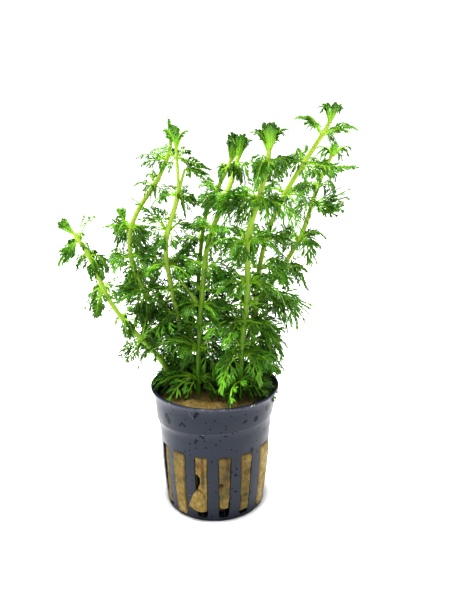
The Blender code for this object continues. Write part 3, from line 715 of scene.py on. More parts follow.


# %% [markdown]
# ## Leaf whorls
# The plain solid has five or six leaves in each whorl. The photograph shows more, so one leaf is grown
# on each plain blade and one or two more in each gap between two blades. Others are guided: they end
# at points that were picked in the photograph, and the plain blades next to them are left out.
# Some of the points are tips of leaves, and some are places inside the leaf mass.
# Across and down are in pixels of the photograph. Behind is how far behind its stem the point was
# guessed to be, and the arch is how far the leaf's middle stands above a straight leaf, both in mm.
# The stem's depth comes from the plain model, and the camera turns a point and its depth into a place.

# %% Points picked in the photograph
# A pick's shade follows how light or dark the leaf looks there, so it holds painted light and shade as well
# as the leaf's own green.
Tip = namedtuple("Tip", "across down behind arch shade kind", defaults=("cut",))
PICKED_TIPS = {
    "stem_1_leaf_whorl_1": (
        Tip(148, 345, -3, 3, 0.15), Tip(146, 333, -5, 2, 0.1), Tip(155, 357, -6, 2, 0.2),
        Tip(141, 348, -6, 3, 0.05), Tip(140, 362, -4, 4, 0.08, "hair")),
    "stem_1_leaf_whorl_2": (
        Tip(132, 337, -3, 0.5, 0.2), Tip(136, 327, -3, 0.5, 0.12), Tip(127, 345, -4, 3.5, 0.08, "fine"),
        Tip(137, 345, -5, 3, 0.08, "fine"), Tip(141, 330, -3, 1.5, 0.15), Tip(132, 307, 0, 1, 0.3),
        Tip(129.5, 340, -4, 0.5, 0.3)),
    "stem_1_leaf_whorl_3": (
        Tip(122, 276, 2, 0.5, 0.45, "hair"), Tip(83, 311, 0, 2.5, 0.4, "hair"),
        Tip(94, 319, -3, 0.3, 0.12, "wad"), Tip(90, 312, -1, 0.5, 0.25), Tip(99, 318, -2, 0.3, 0.12, "wad"),
        Tip(99, 314, -1, 1.5, 0.12), Tip(122, 290, -2, 0.3, 0.35), Tip(118, 300, -3, 0.3, 0.3),
        Tip(114, 287, -3, 1, 0.4)),
    "stem_1_leaf_whorl_4": (
        Tip(104, 281, -3, 2.5, 0.2), Tip(98, 283, -4, 2, 0.15), Tip(82, 262, 0, 1.5, 0.5),
        Tip(92, 281, 2, 2.5, 0.3), Tip(107, 274, 0, 3, 0.1), Tip(104, 279, -4, 1.5, 0.08, "wad"),
        Tip(97, 280, -5, 1, 0.06, "wad"), Tip(107, 270, -3, 2, 0.05, "wad"),
        Tip(94, 272, -5, 0.8, 0.2, "wad")),
    "stem_1_leaf_whorl_5": (
        Tip(99, 215, 1, 2.2, 0.55, "hair"), Tip(85, 214, -1, 1, 0.5, "fine"), Tip(57, 265, 0, 0.9, 0.6),
        Tip(61, 257.5, -2, 0.3, 0.6), Tip(66, 256, -2, 0.3, 0.6), Tip(84, 251, -1, 0.3, 0.2),
        Tip(91, 252, -2, 0.8, 0.3, "fine"), Tip(71, 249, -3, 0.3, 0.55), Tip(89, 240, 0, 0.3, 0.3, "hair"),
        Tip(59, 255, -1, 0.8, 0.4), Tip(64, 262, -1, 0.5, 0.3)),
    "stem_2_leaf_whorl_1": (
        Tip(122, 264, 0, 0.5, 0.3), Tip(112, 296, 0, 0.8, 0.35), Tip(126, 276, -2, 2, 0.25, "fine"),
        Tip(128, 287, 0, 2.5, 0.3, "fine"), Tip(160, 262, 0, 1.5, 0.3), Tip(138, 300, -3, 0.5, 0.2, "fine"),
        Tip(131, 298, -2, 0.8, 0.25, "fine"), Tip(117, 300.5, -2, 0.5, 0.3, "fine")),
    "stem_2_leaf_whorl_2": (
        Tip(112, 220, 0, 1, 0.2), Tip(115, 227, -2, 1, 0.25), Tip(102, 226, 0, 0.5, 0.15, "hair"),
        Tip(112, 246, -2, 1.2, 0.6), Tip(115, 240, -1, 0.8, 0.5), Tip(127, 248, -3, 0.8, 0.3),
        Tip(121, 254, -2, 0.5, 0.3), Tip(117, 248, 0, 2.5, 0.65, "fine"), Tip(121.5, 243, -3, 2, 0.5)),
    "stem_3_leaf_whorl_1": (
        Tip(136, 352, -2.5, 5, 0.05), Tip(134, 359.5, -0.5, 6, 0.1, "hair"), Tip(143, 335, 2.5, 2, 0.1),
        Tip(190, 332, 2.5, 1.5, 0.05), Tip(186, 343, -2.5, 2, 0.1), Tip(150, 345, -3.5, 2.5, 0.1),
        Tip(152, 322, -1.5, 1, 0.15, "fine"), Tip(133, 352, -3.5, 0.8, 0.1, "feather"),
        Tip(139, 350, -5.5, 0.5, 0.06, "feather"), Tip(146, 353.5, -1.5, 0.5, 0.05, "fine")),
    "stem_3_leaf_whorl_2": (
        Tip(123, 298, 0, 1, 0.3, "fine"), Tip(118, 290, -2, 0.5, 0.3), Tip(125, 307, -3, 2, 0.2, "fine"),
        Tip(131, 316, -4, 1, 0.15), Tip(139, 323, -5, 1.5, 0.1), Tip(146.5, 321, -5, 1.5, 0.1),
        Tip(136, 312, -3, 0.5, 0.15), Tip(128, 285, 2, 1, 0.35), Tip(133, 332, -5, 0.3, 0.08, "feather"),
        Tip(140.5, 338, -6, 0.3, 0.06, "feather"), Tip(147, 335, -4, 0.3, 0.06, "fine"),
        Tip(136, 322, -3, 0.3, 0.1, "fine"), Tip(110, 295, -1, 0.5, 0.3, "feather"),
        Tip(113, 286, -1, 0.5, 0.3, "feather")),
    "stem_3_leaf_whorl_3": (
        Tip(109, 250, 0, 1, 0.45), Tip(105, 260, -3, 1, 0.5), Tip(107, 268, 0, 1.5, 0.35),
        Tip(161, 241, -4, -0.5, 0.3, "hair"), Tip(152, 247, -2, 0.5, 0.35, "fine"),
        Tip(158, 260, -3, 0.3, 0.3), Tip(162, 252, -2, 0.3, 0.3, "fine"), Tip(148, 266, -4, 2, 0.4),
        Tip(121, 272, -2, 2.5, 0.4, "fine"), Tip(137, 288, -5, 0.3, 0.15, "fine"),
        Tip(145, 281, -4, 0.5, 0.15, "fine"), Tip(128, 284, -3, 0.3, 0.25, "fine"),
        Tip(158, 249, -2, 0.5, 0.3, "fine")),
    "stem_3_leaf_whorl_4": (
        Tip(102, 226, 0, 1, 0.3, "hair"), Tip(115, 218, -2, 1.5, 0.3), Tip(112, 240, 0, 2.5, 0.55, "fine"),
        Tip(141, 241, -3, 2.5, 0.08), Tip(147, 234, -2, 1.5, 0.25), Tip(148, 248, 0, 1.5, 0.3),
        Tip(139, 249, -2, 1, 0.2), Tip(144, 256, -3, 0.5, 0.2), Tip(150, 246, -1, 0.5, 0.3)),
    "stem_3_leaf_whorl_5": (
        Tip(130, 188, 0, 1.6, 0.4, "feather"), Tip(142, 192, -2, 1, 0.3),
        Tip(156, 201, -4, 2, 0.08, "feather"), Tip(167, 203, -2, 1.5, 0.45), Tip(142, 201, 1, 2, 0.3),
        Tip(150, 203, -2, 2.5, 0.1)),
    "stem_3_leaf_whorl_6": (
        Tip(136, 158, 0, 1.6, 0.3, "hair"), Tip(141, 166, -2, 1, 0.35), Tip(151, 167, -2, 2, 0.35),
        Tip(181, 155, -2, 1.5, 0.05), Tip(160, 173, -2, 1.5, 0.4)),
    "stem_4_leaf_whorl_1": (
        Tip(156, 366, 0, 2.5, 0.6), Tip(160, 380, -4, 2.5, 0.7), Tip(205, 375, -4, 2, 0.3)),
    "stem_4_leaf_whorl_3": (
        Tip(201, 261, 2, 1, 0.15, "hair"), Tip(140, 262, 0, 2, 0.4), Tip(146, 272, -3, 2, 0.3, "fine"),
        Tip(188, 250, 2, 1, 0.25, "fine"), Tip(196, 247, 0, 0.5, 0.3, "fine"),
        Tip(190, 280, -3, 2.5, 0.3, "fine"), Tip(182, 287, -4, 3, 0.3, "fine"),
        Tip(152, 285, -3, 2.5, 0.3, "fine")),
    "stem_4_leaf_whorl_4": (
        Tip(131, 195, 0, 0, 0.35, "hair"), Tip(137, 219, -2, 0.8, 0.35, "hair"),
        Tip(136, 226, 2, 0.8, 0.4, "hair"), Tip(143, 208, 0, 0.6, 0.3), Tip(192, 224, 0, 1.5, 0.08),
        Tip(188, 235, -3, 2, 0.15), Tip(147, 235, -4, 1, 0.3), Tip(150, 250, -2, 1, 0.25),
        Tip(156, 249, -3, 0.8, 0.25), Tip(175, 251, -4, 0.8, 0.25), Tip(182, 245, -4, 2.5, 0.3, "fine"),
        Tip(153, 255, -3, 0.3, 0.25, "fine")),
    "stem_4_leaf_whorl_5": (
        Tip(198, 201, 0, 0.8, 0.3), Tip(201, 206, -1, 1, 0.35), Tip(193, 213, -2, 1, 0.3),
        Tip(187, 222, -2, 5.5, 0.05, "feather"), Tip(160, 187, 2, 1.5, 0.4), Tip(160, 196, -2, 1, 0.4),
        Tip(195, 208, -3, 2.5, 0.25), Tip(188, 185, 2, 1, 0.3, "hair"),
        Tip(202, 203, -1, 0.5, 0.25, "feather")),
    "stem_4_leaf_whorl_6": (
        Tip(186, 147, 2, 1, 0.35, "hair"), Tip(190, 169, 0, 0.8, 0.35, "feather"),
        Tip(193, 176, -2, 2.5, 0.3), Tip(169, 173, -3, 1.5, 0.3, "hair"),
        Tip(214, 170, -1, 0.8, 0.3, "feather")),
    "stem_5_leaf_whorl_2": (
        Tip(206, 221.5, -8, 1, 0.35, "fine"), Tip(190, 240, -4, 1, 0.3, "fine"),
        Tip(186, 250, -6, 2, 0.25, "fine"), Tip(218, 250, -6, 2, 0.3, "fine")),
    "stem_5_leaf_whorl_3": (
        Tip(195, 178, -2.5, 0.5, 0.3, "hair"), Tip(205, 182, -3.5, 1, 0.3), Tip(203, 198, -4.5, 2.5, 0.3),
        Tip(222, 177, -2.5, 0.3, 0.35), Tip(202, 208, -3.5, 1.5, 0.3), Tip(203, 216, -4.5, 2, 0.3, "fine")),
    "stem_5_leaf_whorl_4": (
        Tip(230, 175, -2, 2, 0.03, "wad"), Tip(234, 180, -1, 2.5, 0, "wad"), Tip(218, 178, -2, 1.5, 0.35)),
    "stem_6_leaf_whorl_1": (
        Tip(154, 389, -4, 3, 0.4, "parsley"), Tip(167, 400.5, -7, 2.5, 0.8, "parsley"),
        Tip(186, 398, -7, 2, 0.5, "parsley"), Tip(213, 402.5, -7, 2.5, 0.8, "parsley"),
        Tip(160, 378, 0, 2.5, 0.5), Tip(150, 381, -2, 1.5, 0.15), Tip(152, 372, -1, 1.5, 0.15)),
    "stem_6_leaf_whorl_2": (
        Tip(230, 362, -4, 2.5, 0.55), Tip(221, 388, -7, 5, 0.75), Tip(184, 352, 0, 1.5, 0.4),
        Tip(178, 372, -4, 3.5, 0.4), Tip(160, 342, -5, 2.5, 0.1), Tip(152, 351, -7, 4, 0.12),
        Tip(168, 337, -2, 1.5, 0.08)),
    "stem_6_leaf_whorl_3": (
        Tip(172, 312, -5, 2.5, 0.35), Tip(226, 300, -4, 2, 0.4), Tip(222, 314, -5, 2.5, 0.25, "fine"),
        Tip(230, 320, -3, 3.5, 0.2), Tip(236, 308, 0, 2, 0.25, "fine"), Tip(215, 324, -6, 2.5, 0.2)),
    "stem_6_leaf_whorl_4": (
        Tip(222, 280.5, -4, 2, 0.3), Tip(229, 290, -2, 3, 0.25, "fine"),
        Tip(213, 290, -6, 2.5, 0.3, "fine"), Tip(232, 281, 0, 2, 0.3, "fine"), Tip(226, 286, -1, 1, 0.3),
        Tip(219, 297, -4, 1.5, 0.25), Tip(186, 282, -3, 2.5, 0.3, "fine")),
    "stem_6_leaf_whorl_5": (
        Tip(195, 216, -2, 1, 0.4, "fine"), Tip(190, 230, -3, 1.5, 0.3, "fine"),
        Tip(226, 246, -5, 2.5, 0.3, "fine"), Tip(216, 256, -6, 3, 0.3, "fine"),
        Tip(206, 250, -6, 2.5, 0.35), Tip(211, 262, -5, 2, 0.3, "fine"), Tip(222, 256, -4, 1.5, 0.35),
        Tip(230, 232, -3, 1, 0.35, "fine")),
    "stem_6_leaf_whorl_6": (
        Tip(196, 203, -2, 1.5, 0.35), Tip(205, 212, -5, 2.5, 0.35, "fine"), Tip(240, 208, -4, 2.5, 0.2),
        Tip(216, 212, -6, 3, 0.3)),
    "stem_6_leaf_whorl_7": (
        Tip(231, 175, -1, 3, 0.04, "wad"), Tip(234, 178, -3, 2.5, 0, "wad"), Tip(238, 181, -4, 3, 0, "wad"),
        Tip(243, 184, -4, 3, 0.02, "wad"), Tip(247, 186, -3, 3, 0.03, "wad"),
        Tip(249, 178, -1, 3, 0.6, "hair"), Tip(249, 183, -5, 3.5, 0.65, "hair"),
        Tip(250, 171, -2, 2, 0.55, "hair")),
    "stem_7_leaf_whorl_1": (
        Tip(273, 384.5, -1, 2, 0.2), Tip(228, 402, -21.3, 3, 0.6, "parsley"),
        Tip(262, 398, -7, 2.5, 0.3, "parsley"), Tip(279, 391.5, -2, 2, 0.1), Tip(276, 402, -4, 2.5, 0.12),
        Tip(254, 402, -7, 2, 0.5, "parsley"), Tip(241, 404, -8, 1.5, 0.3)),
    "stem_7_leaf_whorl_2": (
        Tip(222, 390, -7, 4.5, 0.9), Tip(262, 388, -6, 4, 0.85), Tip(275, 371.5, -3, 3, 0.5),
        Tip(212, 372, -5, 3, 0.85), Tip(284, 366, -1, 4, 0.35), Tip(283, 372.5, -3, 1.5, 0.45)),
    "stem_7_leaf_whorl_3": (
        Tip(205, 342, -5, 4.5, 0.85), Tip(215, 334, -2, 2.5, 0.7), Tip(257, 350.5, -5, 3.5, 0.75),
        Tip(270, 340, -2, 3, 0.4), Tip(226, 314, -1, 1, 0.3, "fine")),
    "stem_7_leaf_whorl_4": (
        Tip(272, 279, 0, 2, 0.6), Tip(270, 298, -4, 3, 0.5, "fine"), Tip(240, 299, -6, 2, 0.7),
        Tip(229, 293, -3, 1.5, 0.3, "fine"), Tip(224, 300, -4, 2.5, 0.35, "fine"),
        Tip(222, 286, 0, 1, 0.4, "fine"), Tip(280, 288, -2, 1.5, 0.4), Tip(213, 284, -2, 0.8, 0.3),
        Tip(218, 293, -3, 1, 0.3)),
    "stem_7_leaf_whorl_5": (
        Tip(210, 268, -4, 0.5, 0.6), Tip(214, 259, -1, 1.5, 0.45, "fine"),
        Tip(281, 222, 0, -1.5, 0.5, "hair"), Tip(257, 263.5, -6, 3.5, 0.55, "hair"),
        Tip(236, 268, -6, 3, 0.4, "fine"), Tip(224, 251, -2, 2, 0.35, "fine"),
        Tip(228, 264, -5, 3, 0.35, "fine"), Tip(272, 238, -2, 1.5, 0.35),
        Tip(268, 252, -4, 2.5, 0.3, "fine"), Tip(230, 262, -3, 1, 0.4), Tip(238, 268, -5, 1.2, 0.35),
        Tip(228, 270, -4, 1, 0.3, "fine"), Tip(258, 257, -4, 1.5, 0.35)),
    "stem_7_leaf_whorl_6": (
        Tip(212, 207, -3.5, 3, 0.45), Tip(222, 222, -5.5, 4, 0.45, "fine"),
        Tip(285, 225, -3.5, 5, 0.4, "fine"), Tip(268, 236, -6.5, 6.5, 0.55, "hair"),
        Tip(225, 196, 1.5, 1.5, 0.4, "fine"), Tip(221, 205, -1.5, 2.5, 0.45, "fine"),
        Tip(226, 213, -3.5, 3.5, 0.4, "fine"), Tip(235, 223, -5.5, 4.5, 0.35, "fine"),
        Tip(209, 219.5, -1.5, 2.5, 0.3, "fine"), Tip(217, 236, -3.5, 4, 0.35, "fine"),
        Tip(284, 203, -2.5, 0.8, 0.08, "feather"), Tip(217, 218, -4.5, 2, 0.35),
        Tip(208, 216, -3.5, 1.5, 0.35), Tip(240, 227.5, -6.5, 3, 0.35),
        Tip(246, 222, -7.5, 2.5, 0.35, "fine"), Tip(235, 217, -5.5, 2, 0.3),
        Tip(262, 221, -7.5, 3, 0.35, "fine"), Tip(268, 214, -5.5, 2, 0.35), Tip(280, 227, -2.5, 2.5, 0.3),
        Tip(280, 212, -4.5, 2.5, 0.3), Tip(236, 230, -6.5, 1.5, 0.3, "fine")),
    "stem_7_leaf_whorl_7": (
        Tip(250, 187, -1, 3.5, 0.3, "fine"), Tip(254, 187, -4, 3, 0.3, "fine"), Tip(253, 191, -6, 3, 0.35),
        Tip(251, 173, -2, 2, 0.35, "fine"), Tip(254, 181, -3, 3, 0.35),
        Tip(258, 177.5, -5, 2.5, 0.3, "fine"), Tip(243, 163, 2, 0.4, 0.4, "hair"),
        Tip(284, 178.5, -3, 2.5, 0.35, "fine"), Tip(290, 176.5, -1, 3, 0.3, "fine"),
        Tip(270, 178, -6, 2, 0.2), Tip(302, 160, 1, 1.2, 0.25, "feather"),
        Tip(310, 166, 3, 2.2, 0.3, "feather"), Tip(292, 168, -2, 1.8, 0.3), Tip(277, 177, -5, 2.5, 0.3),
        Tip(283, 183, -4, 1, 0.2), Tip(276, 186, -5, 0.8, 0.2)),
    "stem_8_leaf_whorl_1": (
        Tip(282, 363.5, -5, 5, 0.3), Tip(276.5, 370, -8, 5, 0.2), Tip(284, 352, -1, 3.5, 0.25),
        Tip(281, 375.5, -4, 6, 0.25), Tip(270, 310, -5, 1, 0.3, "fine"),
        Tip(280, 322, -3, 1.5, 0.25, "fine"), Tip(284, 303, 0, 1, 0.35, "fine"),
        Tip(272, 332, -7, 2, 0.2, "fine"), Tip(286, 362, -6, 3, 0.3, "feather"),
        Tip(284, 349.5, -4, 1.5, 0.25, "feather")),
    "stem_8_leaf_whorl_3": (
        Tip(279, 225, -2, 0.5, 0.3, "fine"), Tip(290, 233, 0, 1, 0.2, "fine"),
        Tip(286, 244, -3, 2, 0.25, "fine"), Tip(268, 222, -4, 0, 0.3), Tip(287, 254, -2, 1, 0.2)),
    "stem_8_leaf_whorl_4": (
        Tip(284, 214, -3, 2, 0.25, "fine"), Tip(292, 212, -4, 2, 0.25, "fine"),
        Tip(277, 219, -5, 2.5, 0.25, "fine"), Tip(270, 210, -3, 2, 0.3)),
    "stem_8_leaf_whorl_5": (
        Tip(360, 167, -3, -0.8, 0.4, "feather"), Tip(339, 170, -2, 1, 0.12, "feather"),
        Tip(304, 184, -5, 1.5, 0.3), Tip(312, 181, -4, 1, 0.4, "fine"), Tip(322, 183, -5, 1.5, 0.35),
        Tip(284, 167, 0, 1.5, 0.25, "feather"), Tip(290, 177, -2, 2.5, 0.3),
        Tip(298, 148, 2, 0.6, 0.3, "hair")),
    "stem_8_leaf_whorl_6": (
        Tip(292.5, 121, 0, 3.4, 0.35, "feather"), Tip(300, 122, -2, 3.6, 0.3, "feather"),
        Tip(305, 131, -1, 3, 0.25, "feather"), Tip(310, 132, -3, 2.4, 0.25),
        Tip(360, 131, 0, 2.2, 0.45, "feather"), Tip(352, 133.5, -2, 1.6, 0.4, "feather"),
        Tip(331, 145, 6, 2, 0.08), Tip(336, 143, 4, 2, 0.1)),
    "stem_9_leaf_whorl_1": (
        Tip(322, 309, -2, 0.3, 0.6, "hair"), Tip(313, 308, 0, 0.5, 0.65), Tip(314, 318, -4, 1.5, 0.6),
        Tip(307, 322, -5, 2, 0.55, "parsley"), Tip(305, 328, -6, 5, 0.6), Tip(297, 331, -8, 5.5, 0.5),
        Tip(290, 333, -8, 6, 0.65), Tip(296, 318, -2, 3, 0.55), Tip(268, 310, -5, 1, 0.3),
        Tip(262, 307, -7, 1, 0.3), Tip(290, 300, -3, 0.5, 0.4), Tip(285, 296, -2, 0.8, 0.35, "fine"),
        Tip(284, 327, -6, 1, 0.55, "parsley"), Tip(294, 330, -6, 1.5, 0.5, "parsley")),
    "stem_9_leaf_whorl_2": (
        Tip(309, 274, -3, 2, 0.06, "feather"), Tip(308, 289, -4, 4, 0.05, "feather"),
        Tip(303, 292, -5, 3, 0.06, "feather"), Tip(290, 285.5, -4, 1.5, 0.3),
        Tip(283, 290, -5, 1.5, 0.3, "fine"), Tip(297, 265, -1, 1, 0.1, "feather"),
        Tip(302, 282.5, -3, 3.5, 0.1), Tip(302, 258, 1, 1, 0.35, "hair"),
        Tip(274, 250, -2, 0.3, 0.35, "hair"), Tip(282, 248, -1, 0, 0.4, "hair"),
        Tip(293, 251, 0, 0.3, 0.4, "hair"), Tip(294, 288, -4, 0.5, 0.35), Tip(287, 292, -5, 0.3, 0.4)),
    "stem_9_leaf_whorl_3": (
        Tip(329, 241, -1, 4, 0.15, "feather"), Tip(319, 266, -3, 3.5, 0.5, "hair"),
        Tip(317, 237, 2, 2.5, 0.08, "feather"), Tip(322, 239, -4, 3, 0.15),
        Tip(276, 231.5, -2, 0.5, 0.15, "fine"), Tip(281, 224, 0, 0, 0.15, "fine"),
        Tip(287, 219, 2, 0, 0.2, "fine"), Tip(273, 244, -4, 1.5, 0.2, "fine"), Tip(283, 251, -3, 1, 0.2),
        Tip(320, 232, 0, 1.2, 0.12, "feather"), Tip(311, 268, -4, 6, 0.35)),
    "stem_9_leaf_whorl_4": (
        Tip(350, 187, -2, -1, 0.15, "parsley"), Tip(351, 196, -1, -0.3, 0.2, "parsley"),
        Tip(345, 203, -2, -0.2, 0.2), Tip(340.5, 186, 1, -0.5, 0.2), Tip(337, 195, -3, 0.5, 0.25),
        Tip(345, 210, -3, 0.2, 0.35, "parsley"), Tip(338, 217, -4, 0.5, 0.3, "parsley"),
        Tip(327, 217, -5, 1.2, 0.3), Tip(334, 212, -5, 0.5, 0.08), Tip(296, 212, -3, 2, 0.45, "parsley"),
        Tip(287, 215, -2, 1, 0.3), Tip(291, 223, -3, 1.5, 0.2), Tip(302, 219, -5, 2.5, 0.35, "parsley"),
        Tip(309, 219, -6, 2, 0.2, "parsley"), Tip(297, 205, -1, 1, 0.4)),
    "stem_9_leaf_whorl_5": (
        Tip(284, 195, -4, 1.5, 0, "feather"), Tip(291, 190, -2, 2, 0.03, "feather"),
        Tip(335, 188, -3, 2, 0.2, "fine"), Tip(327, 198, -4, 3, 0.1), Tip(300, 196, -5, 1.5, 0.1),
        Tip(317, 197, -5, 2, 0.08)),
    "stem_9_leaf_whorl_6": (
        Tip(312, 178, -2, 1.5, 0.4), Tip(336, 181, 0, 1.5, 0.45), Tip(331, 179, -3, 1.5, 0.5)),
}


def picked_place(pick, depth):
    """Return the place in mm that is seen at a picked point and lies at a depth."""
    across = (pick.across - PHOTO_WIDTH_IN_PIXELS / 2) / FOCAL_LENGTH_IN_PIXELS
    down = (pick.down - PHOTO_HEIGHT_IN_PIXELS / 2) / FOCAL_LENGTH_IN_PIXELS
    sight = np.array(camera.matrix_world.to_3x3()) @ np.array((across, -down, -1.0))
    start = np.array(CAMERA_PLACE) / MM
    return start + sight * (depth - start[1]) / sight[1]


print("points picked for the whorls:", sum(len(picks) for picks in PICKED_TIPS.values()))

# %% Shape the leaves of a whorl
FRONT_PICKED = {1: (1, 2, 3, 4, 5), 2: (2,), 3: (5, 6), 4: (4, 5, 6), 5: (4,), 6: (7,), 7: (7,), 8: (5, 6),
                9: (4, 5, 6)}
STEM_TONES = {1: 0.45, 2: 0.6, 3: 0.3, 4: 0.35, 5: 0.25, 6: 0.45, 7: 0.5, 8: 0.4, 9: 0.3}
TURN_TO_GUIDED = 0.6
BEHIND = 0.45
GUIDED_ROLL = (0.35, 1.05)
PLACE_STEP = 0.5
FULL_WHORLS_BELOW = 112 * MM
ROOT_INSIDE = 0.6
ARCH_TO_BEND = 4
ARCH_TO_LENGTH = 0.6
FRONT_GAP = math.radians(38)


def stem_direction(line, height):
    """Return a point of a stem's centre line at a height and its direction there."""
    heights = line.points[:, 2]
    index = int(np.clip(np.searchsorted(heights, height), 2, len(heights) - 2))
    centre = np.array([np.interp(height, heights, line.points[:, i]) for i in range(3)])
    return centre, unit(line.points[index + 1] - line.points[index - 2])


def random_bend(draw):
    """Return a natural bend: the tip curls, the blade twists and its halves fold down a little."""
    return Bend(curl=draw.uniform(-0.4, 0.7), twist=draw.uniform(-1.0, 1.0), fold=draw.uniform(-0.2, 0.4),
                sway=draw.uniform(-0.16, 0.16), breadth=draw.uniform(0.8, 1.2))


def guided_leaf(tip, arch, centre, radius, draw):
    """Return a leaf that springs from a stem and ends at a tip. Its tip and its arch are in mm."""
    tip = np.array(tip) * MM
    out = unit(tip - centre)
    root = centre + out * radius * ROOT_INSIDE
    reach = tip - root
    rise = ARCH_TO_BEND * arch * MM * UP
    roll = draw.choice((-1, 1)) * draw.uniform(*GUIDED_ROLL)
    side = rotation(roll, out) @ unit(np.cross(reach, UP))
    length = float(np.linalg.norm(reach)) + ARCH_TO_LENGTH * abs(arch) * MM
    return PlainLeaf(root, reach + rise, -rise, side, unit(np.cross(side, reach)), length)


def around(leaves, centre, axis):
    """Return the leaves in order round the stem, each with the angle to the next one."""
    first = unit(np.cross(axis, (0.3, 0.2, 0.9)))
    second = np.cross(axis, first)
    spots = sorted(((math.atan2((leaf.root - centre) @ second, (leaf.root - centre) @ first) % math.tau, k)
                    for k, leaf in enumerate(leaves)))
    angles = [angle for angle, _ in spots] + [spots[0][0] + math.tau]
    return [(leaves[k], angles[n + 1] - angles[n]) for n, (_, k) in enumerate(spots)]


def parted(leaf, centre, axis):
    """Return a leaf that hides the stem from the front, swung to one side of it, and any other as it is."""
    heading = leaf.start + leaf.bend
    angle = math.atan2(heading[0], -heading[1])
    if abs(angle) > FRONT_GAP:
        return leaf
    wanted = math.copysign(FRONT_GAP * (0.8 + 0.2 * abs(angle) / FRONT_GAP), angle)
    return varied(leaf, centre, axis, wanted - angle, 0.0, 1.0)


def picked_leaf(pick, centre, radius, draw):
    """Return the leaf that ends at a picked point, to the half millimetre: a pick is no finer than that."""
    depth = np.round((centre[1] / MM + pick.behind) / PLACE_STEP) * PLACE_STEP
    across, _, up = np.round(picked_place(pick, depth) / PLACE_STEP) * PLACE_STEP
    return guided_leaf((across, depth, up), pick.arch, centre, radius, draw)


# %% Grow the whorls
def grow_whorl(line, node, front_picked, tone, draw):
    """Grow one whorl's leaves: first the guided ones, then those on and between the plain blades."""
    bm = welded(node)
    leaves = plain_leaves(bm)
    bm.free()
    height = float(np.mean([leaf.root[2] for leaf in leaves]))
    centre, axis = stem_direction(line, height)
    batch = LeafBatch()
    guided = []
    for pick in PICKED_TIPS.get(node, ()):
        leaf = picked_leaf(pick, centre, line.radius, draw)
        bend = Bend(draw.uniform(-0.1, 0.3), draw.uniform(-0.5, 0.5), draw.uniform(-0.1, 0.3),
                    draw.uniform(-0.05, 0.05), draw.uniform(0.9, 1.2))
        batch.add(draw.choice(patterns[pick.kind]), leaf, bend, pick.shade + draw.uniform(-0.08, 0.08))
        guided.append(unit(leaf.start + leaf.bend))
    for leaf, gap in around(leaves, centre, axis):
        heading = unit(leaf.start + leaf.bend)
        if front_picked and heading[1] < BEHIND:
            continue
        if not any(heading @ other > math.cos(TURN_TO_GUIDED) for other in guided):
            own = varied(leaf, centre, axis, draw.uniform(-0.15, 0.15), draw.uniform(-0.05, 0.35),
                         draw.uniform(0.88, 1.04))
            kind = draw.choice(("cut", "cut", "fine"))
            own = parted(own, centre, axis)
            batch.add(draw.choice(patterns[kind]), own, random_bend(draw), tone + draw.uniform(-0.4, 0.45))
        for share in ((0.33, 0.67) if height < FULL_WHORLS_BELOW else (0.5,)):
            between = varied(leaf, centre, axis, gap * (share + draw.uniform(-0.1, 0.1)),
                             draw.uniform(-0.3, 0.75), draw.uniform(0.65, 1.0))
            kind = draw.choice(("cut", "fine", "fine"))
            between = parted(between, centre, axis)
            pattern = draw.choice(patterns[kind])
            batch.add(pattern, between, random_bend(draw), tone + draw.uniform(-0.45, 0.4))
    return batch.piece(node.replace("leaf_whorl", "fine_whorl"), [node])


whorl_draw = random.Random(7)
for number, line in enumerate(stem_lines, 1):
    for node in sorted(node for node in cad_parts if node.startswith(line.name + "_leaf_whorl_")):
        whorl = int(node.rpartition("_")[2])
        grow_whorl(line, node, whorl in FRONT_PICKED[number], STEM_TONES[number], whorl_draw)

# %% [markdown]
# ## Inner whorls
# Deep in the bunch the stems carry more whorls than the plain model has solids for. They are short
# and dark, they stay inside the outline of the others, and they close the view through the bunch.
# Their dark green is painted shade of the bunch's depths.

# %% Grow the inner whorls
INNER_HEIGHTS = {1: (69.0,), 2: (52.0, 62.0, 70.0, 77.0), 3: (52.0, 58.0, 68.0, 75.5),
                 4: (50.0, 56.0, 66.0, 76.0, 86.5), 5: (51.0, 55.0, 65.0, 78.0, 90.0), 6: (66.0, 73.5, 88.0),
                 7: (50.0, 68.0, 78.0, 84.5), 8: (50.0, 55.0, 62.0, 72.0, 84.5), 9: (52.0, 58.0, 70.0, 76.0)}
INNER_REACH = 11.5
INNER_LEAVES = 11
INNER_ARCH_LENGTH = 1.15
# Nearly black tone of the inner leaves: painted shade of the bunch's depths.
PAINTED_SHADE_TONE = 0.06


def grow_inner_whorls(line, heights, tone, draw):
    """Grow the whorls of one stem that have no plain solid of their own."""
    batch = LeafBatch()
    for height in heights:
        centre, axis = stem_direction(line, height * MM)
        first_turn = draw.uniform(0, math.tau)
        for k in range(INNER_LEAVES):
            turn = first_turn + math.tau * (k + draw.uniform(-0.2, 0.2)) / INNER_LEAVES
            out = rotation(turn, axis) @ unit(np.cross(axis, (0.0, 1.0, 0.3)))
            reach = INNER_REACH * draw.uniform(0.7, 1.1) * MM
            start = out * reach + UP * reach * draw.uniform(0.1, 0.8)
            side = unit(np.cross(start, UP))
            bend = -UP * reach * draw.uniform(0.1, 0.6)
            leaf = PlainLeaf(centre + out * line.radius * ROOT_INSIDE, start, bend, side,
                             unit(np.cross(side, start)), reach * INNER_ARCH_LENGTH)
            leaf = parted(leaf, centre, axis)
            pattern = draw.choice(patterns["inner"])
            batch.add(pattern, leaf, random_bend(draw), tone + draw.uniform(-0.1, 0.15))
    return batch.piece(line.name + "_inner_whorls", [])


inner_draw = random.Random(41)
for number, line in enumerate(stem_lines, 1):
    grow_inner_whorls(line, INNER_HEIGHTS[number], PAINTED_SHADE_TONE, inner_draw)
print("inner whorls:", sum(len(heights) for heights in INNER_HEIGHTS.values()))

# %% [markdown]
# ## Stems
# A stem is a smooth tube that swells a little at every whorl. A ring of points is set square to the
# centre line every millimetre or so, which keeps the tube round where the stem bends.

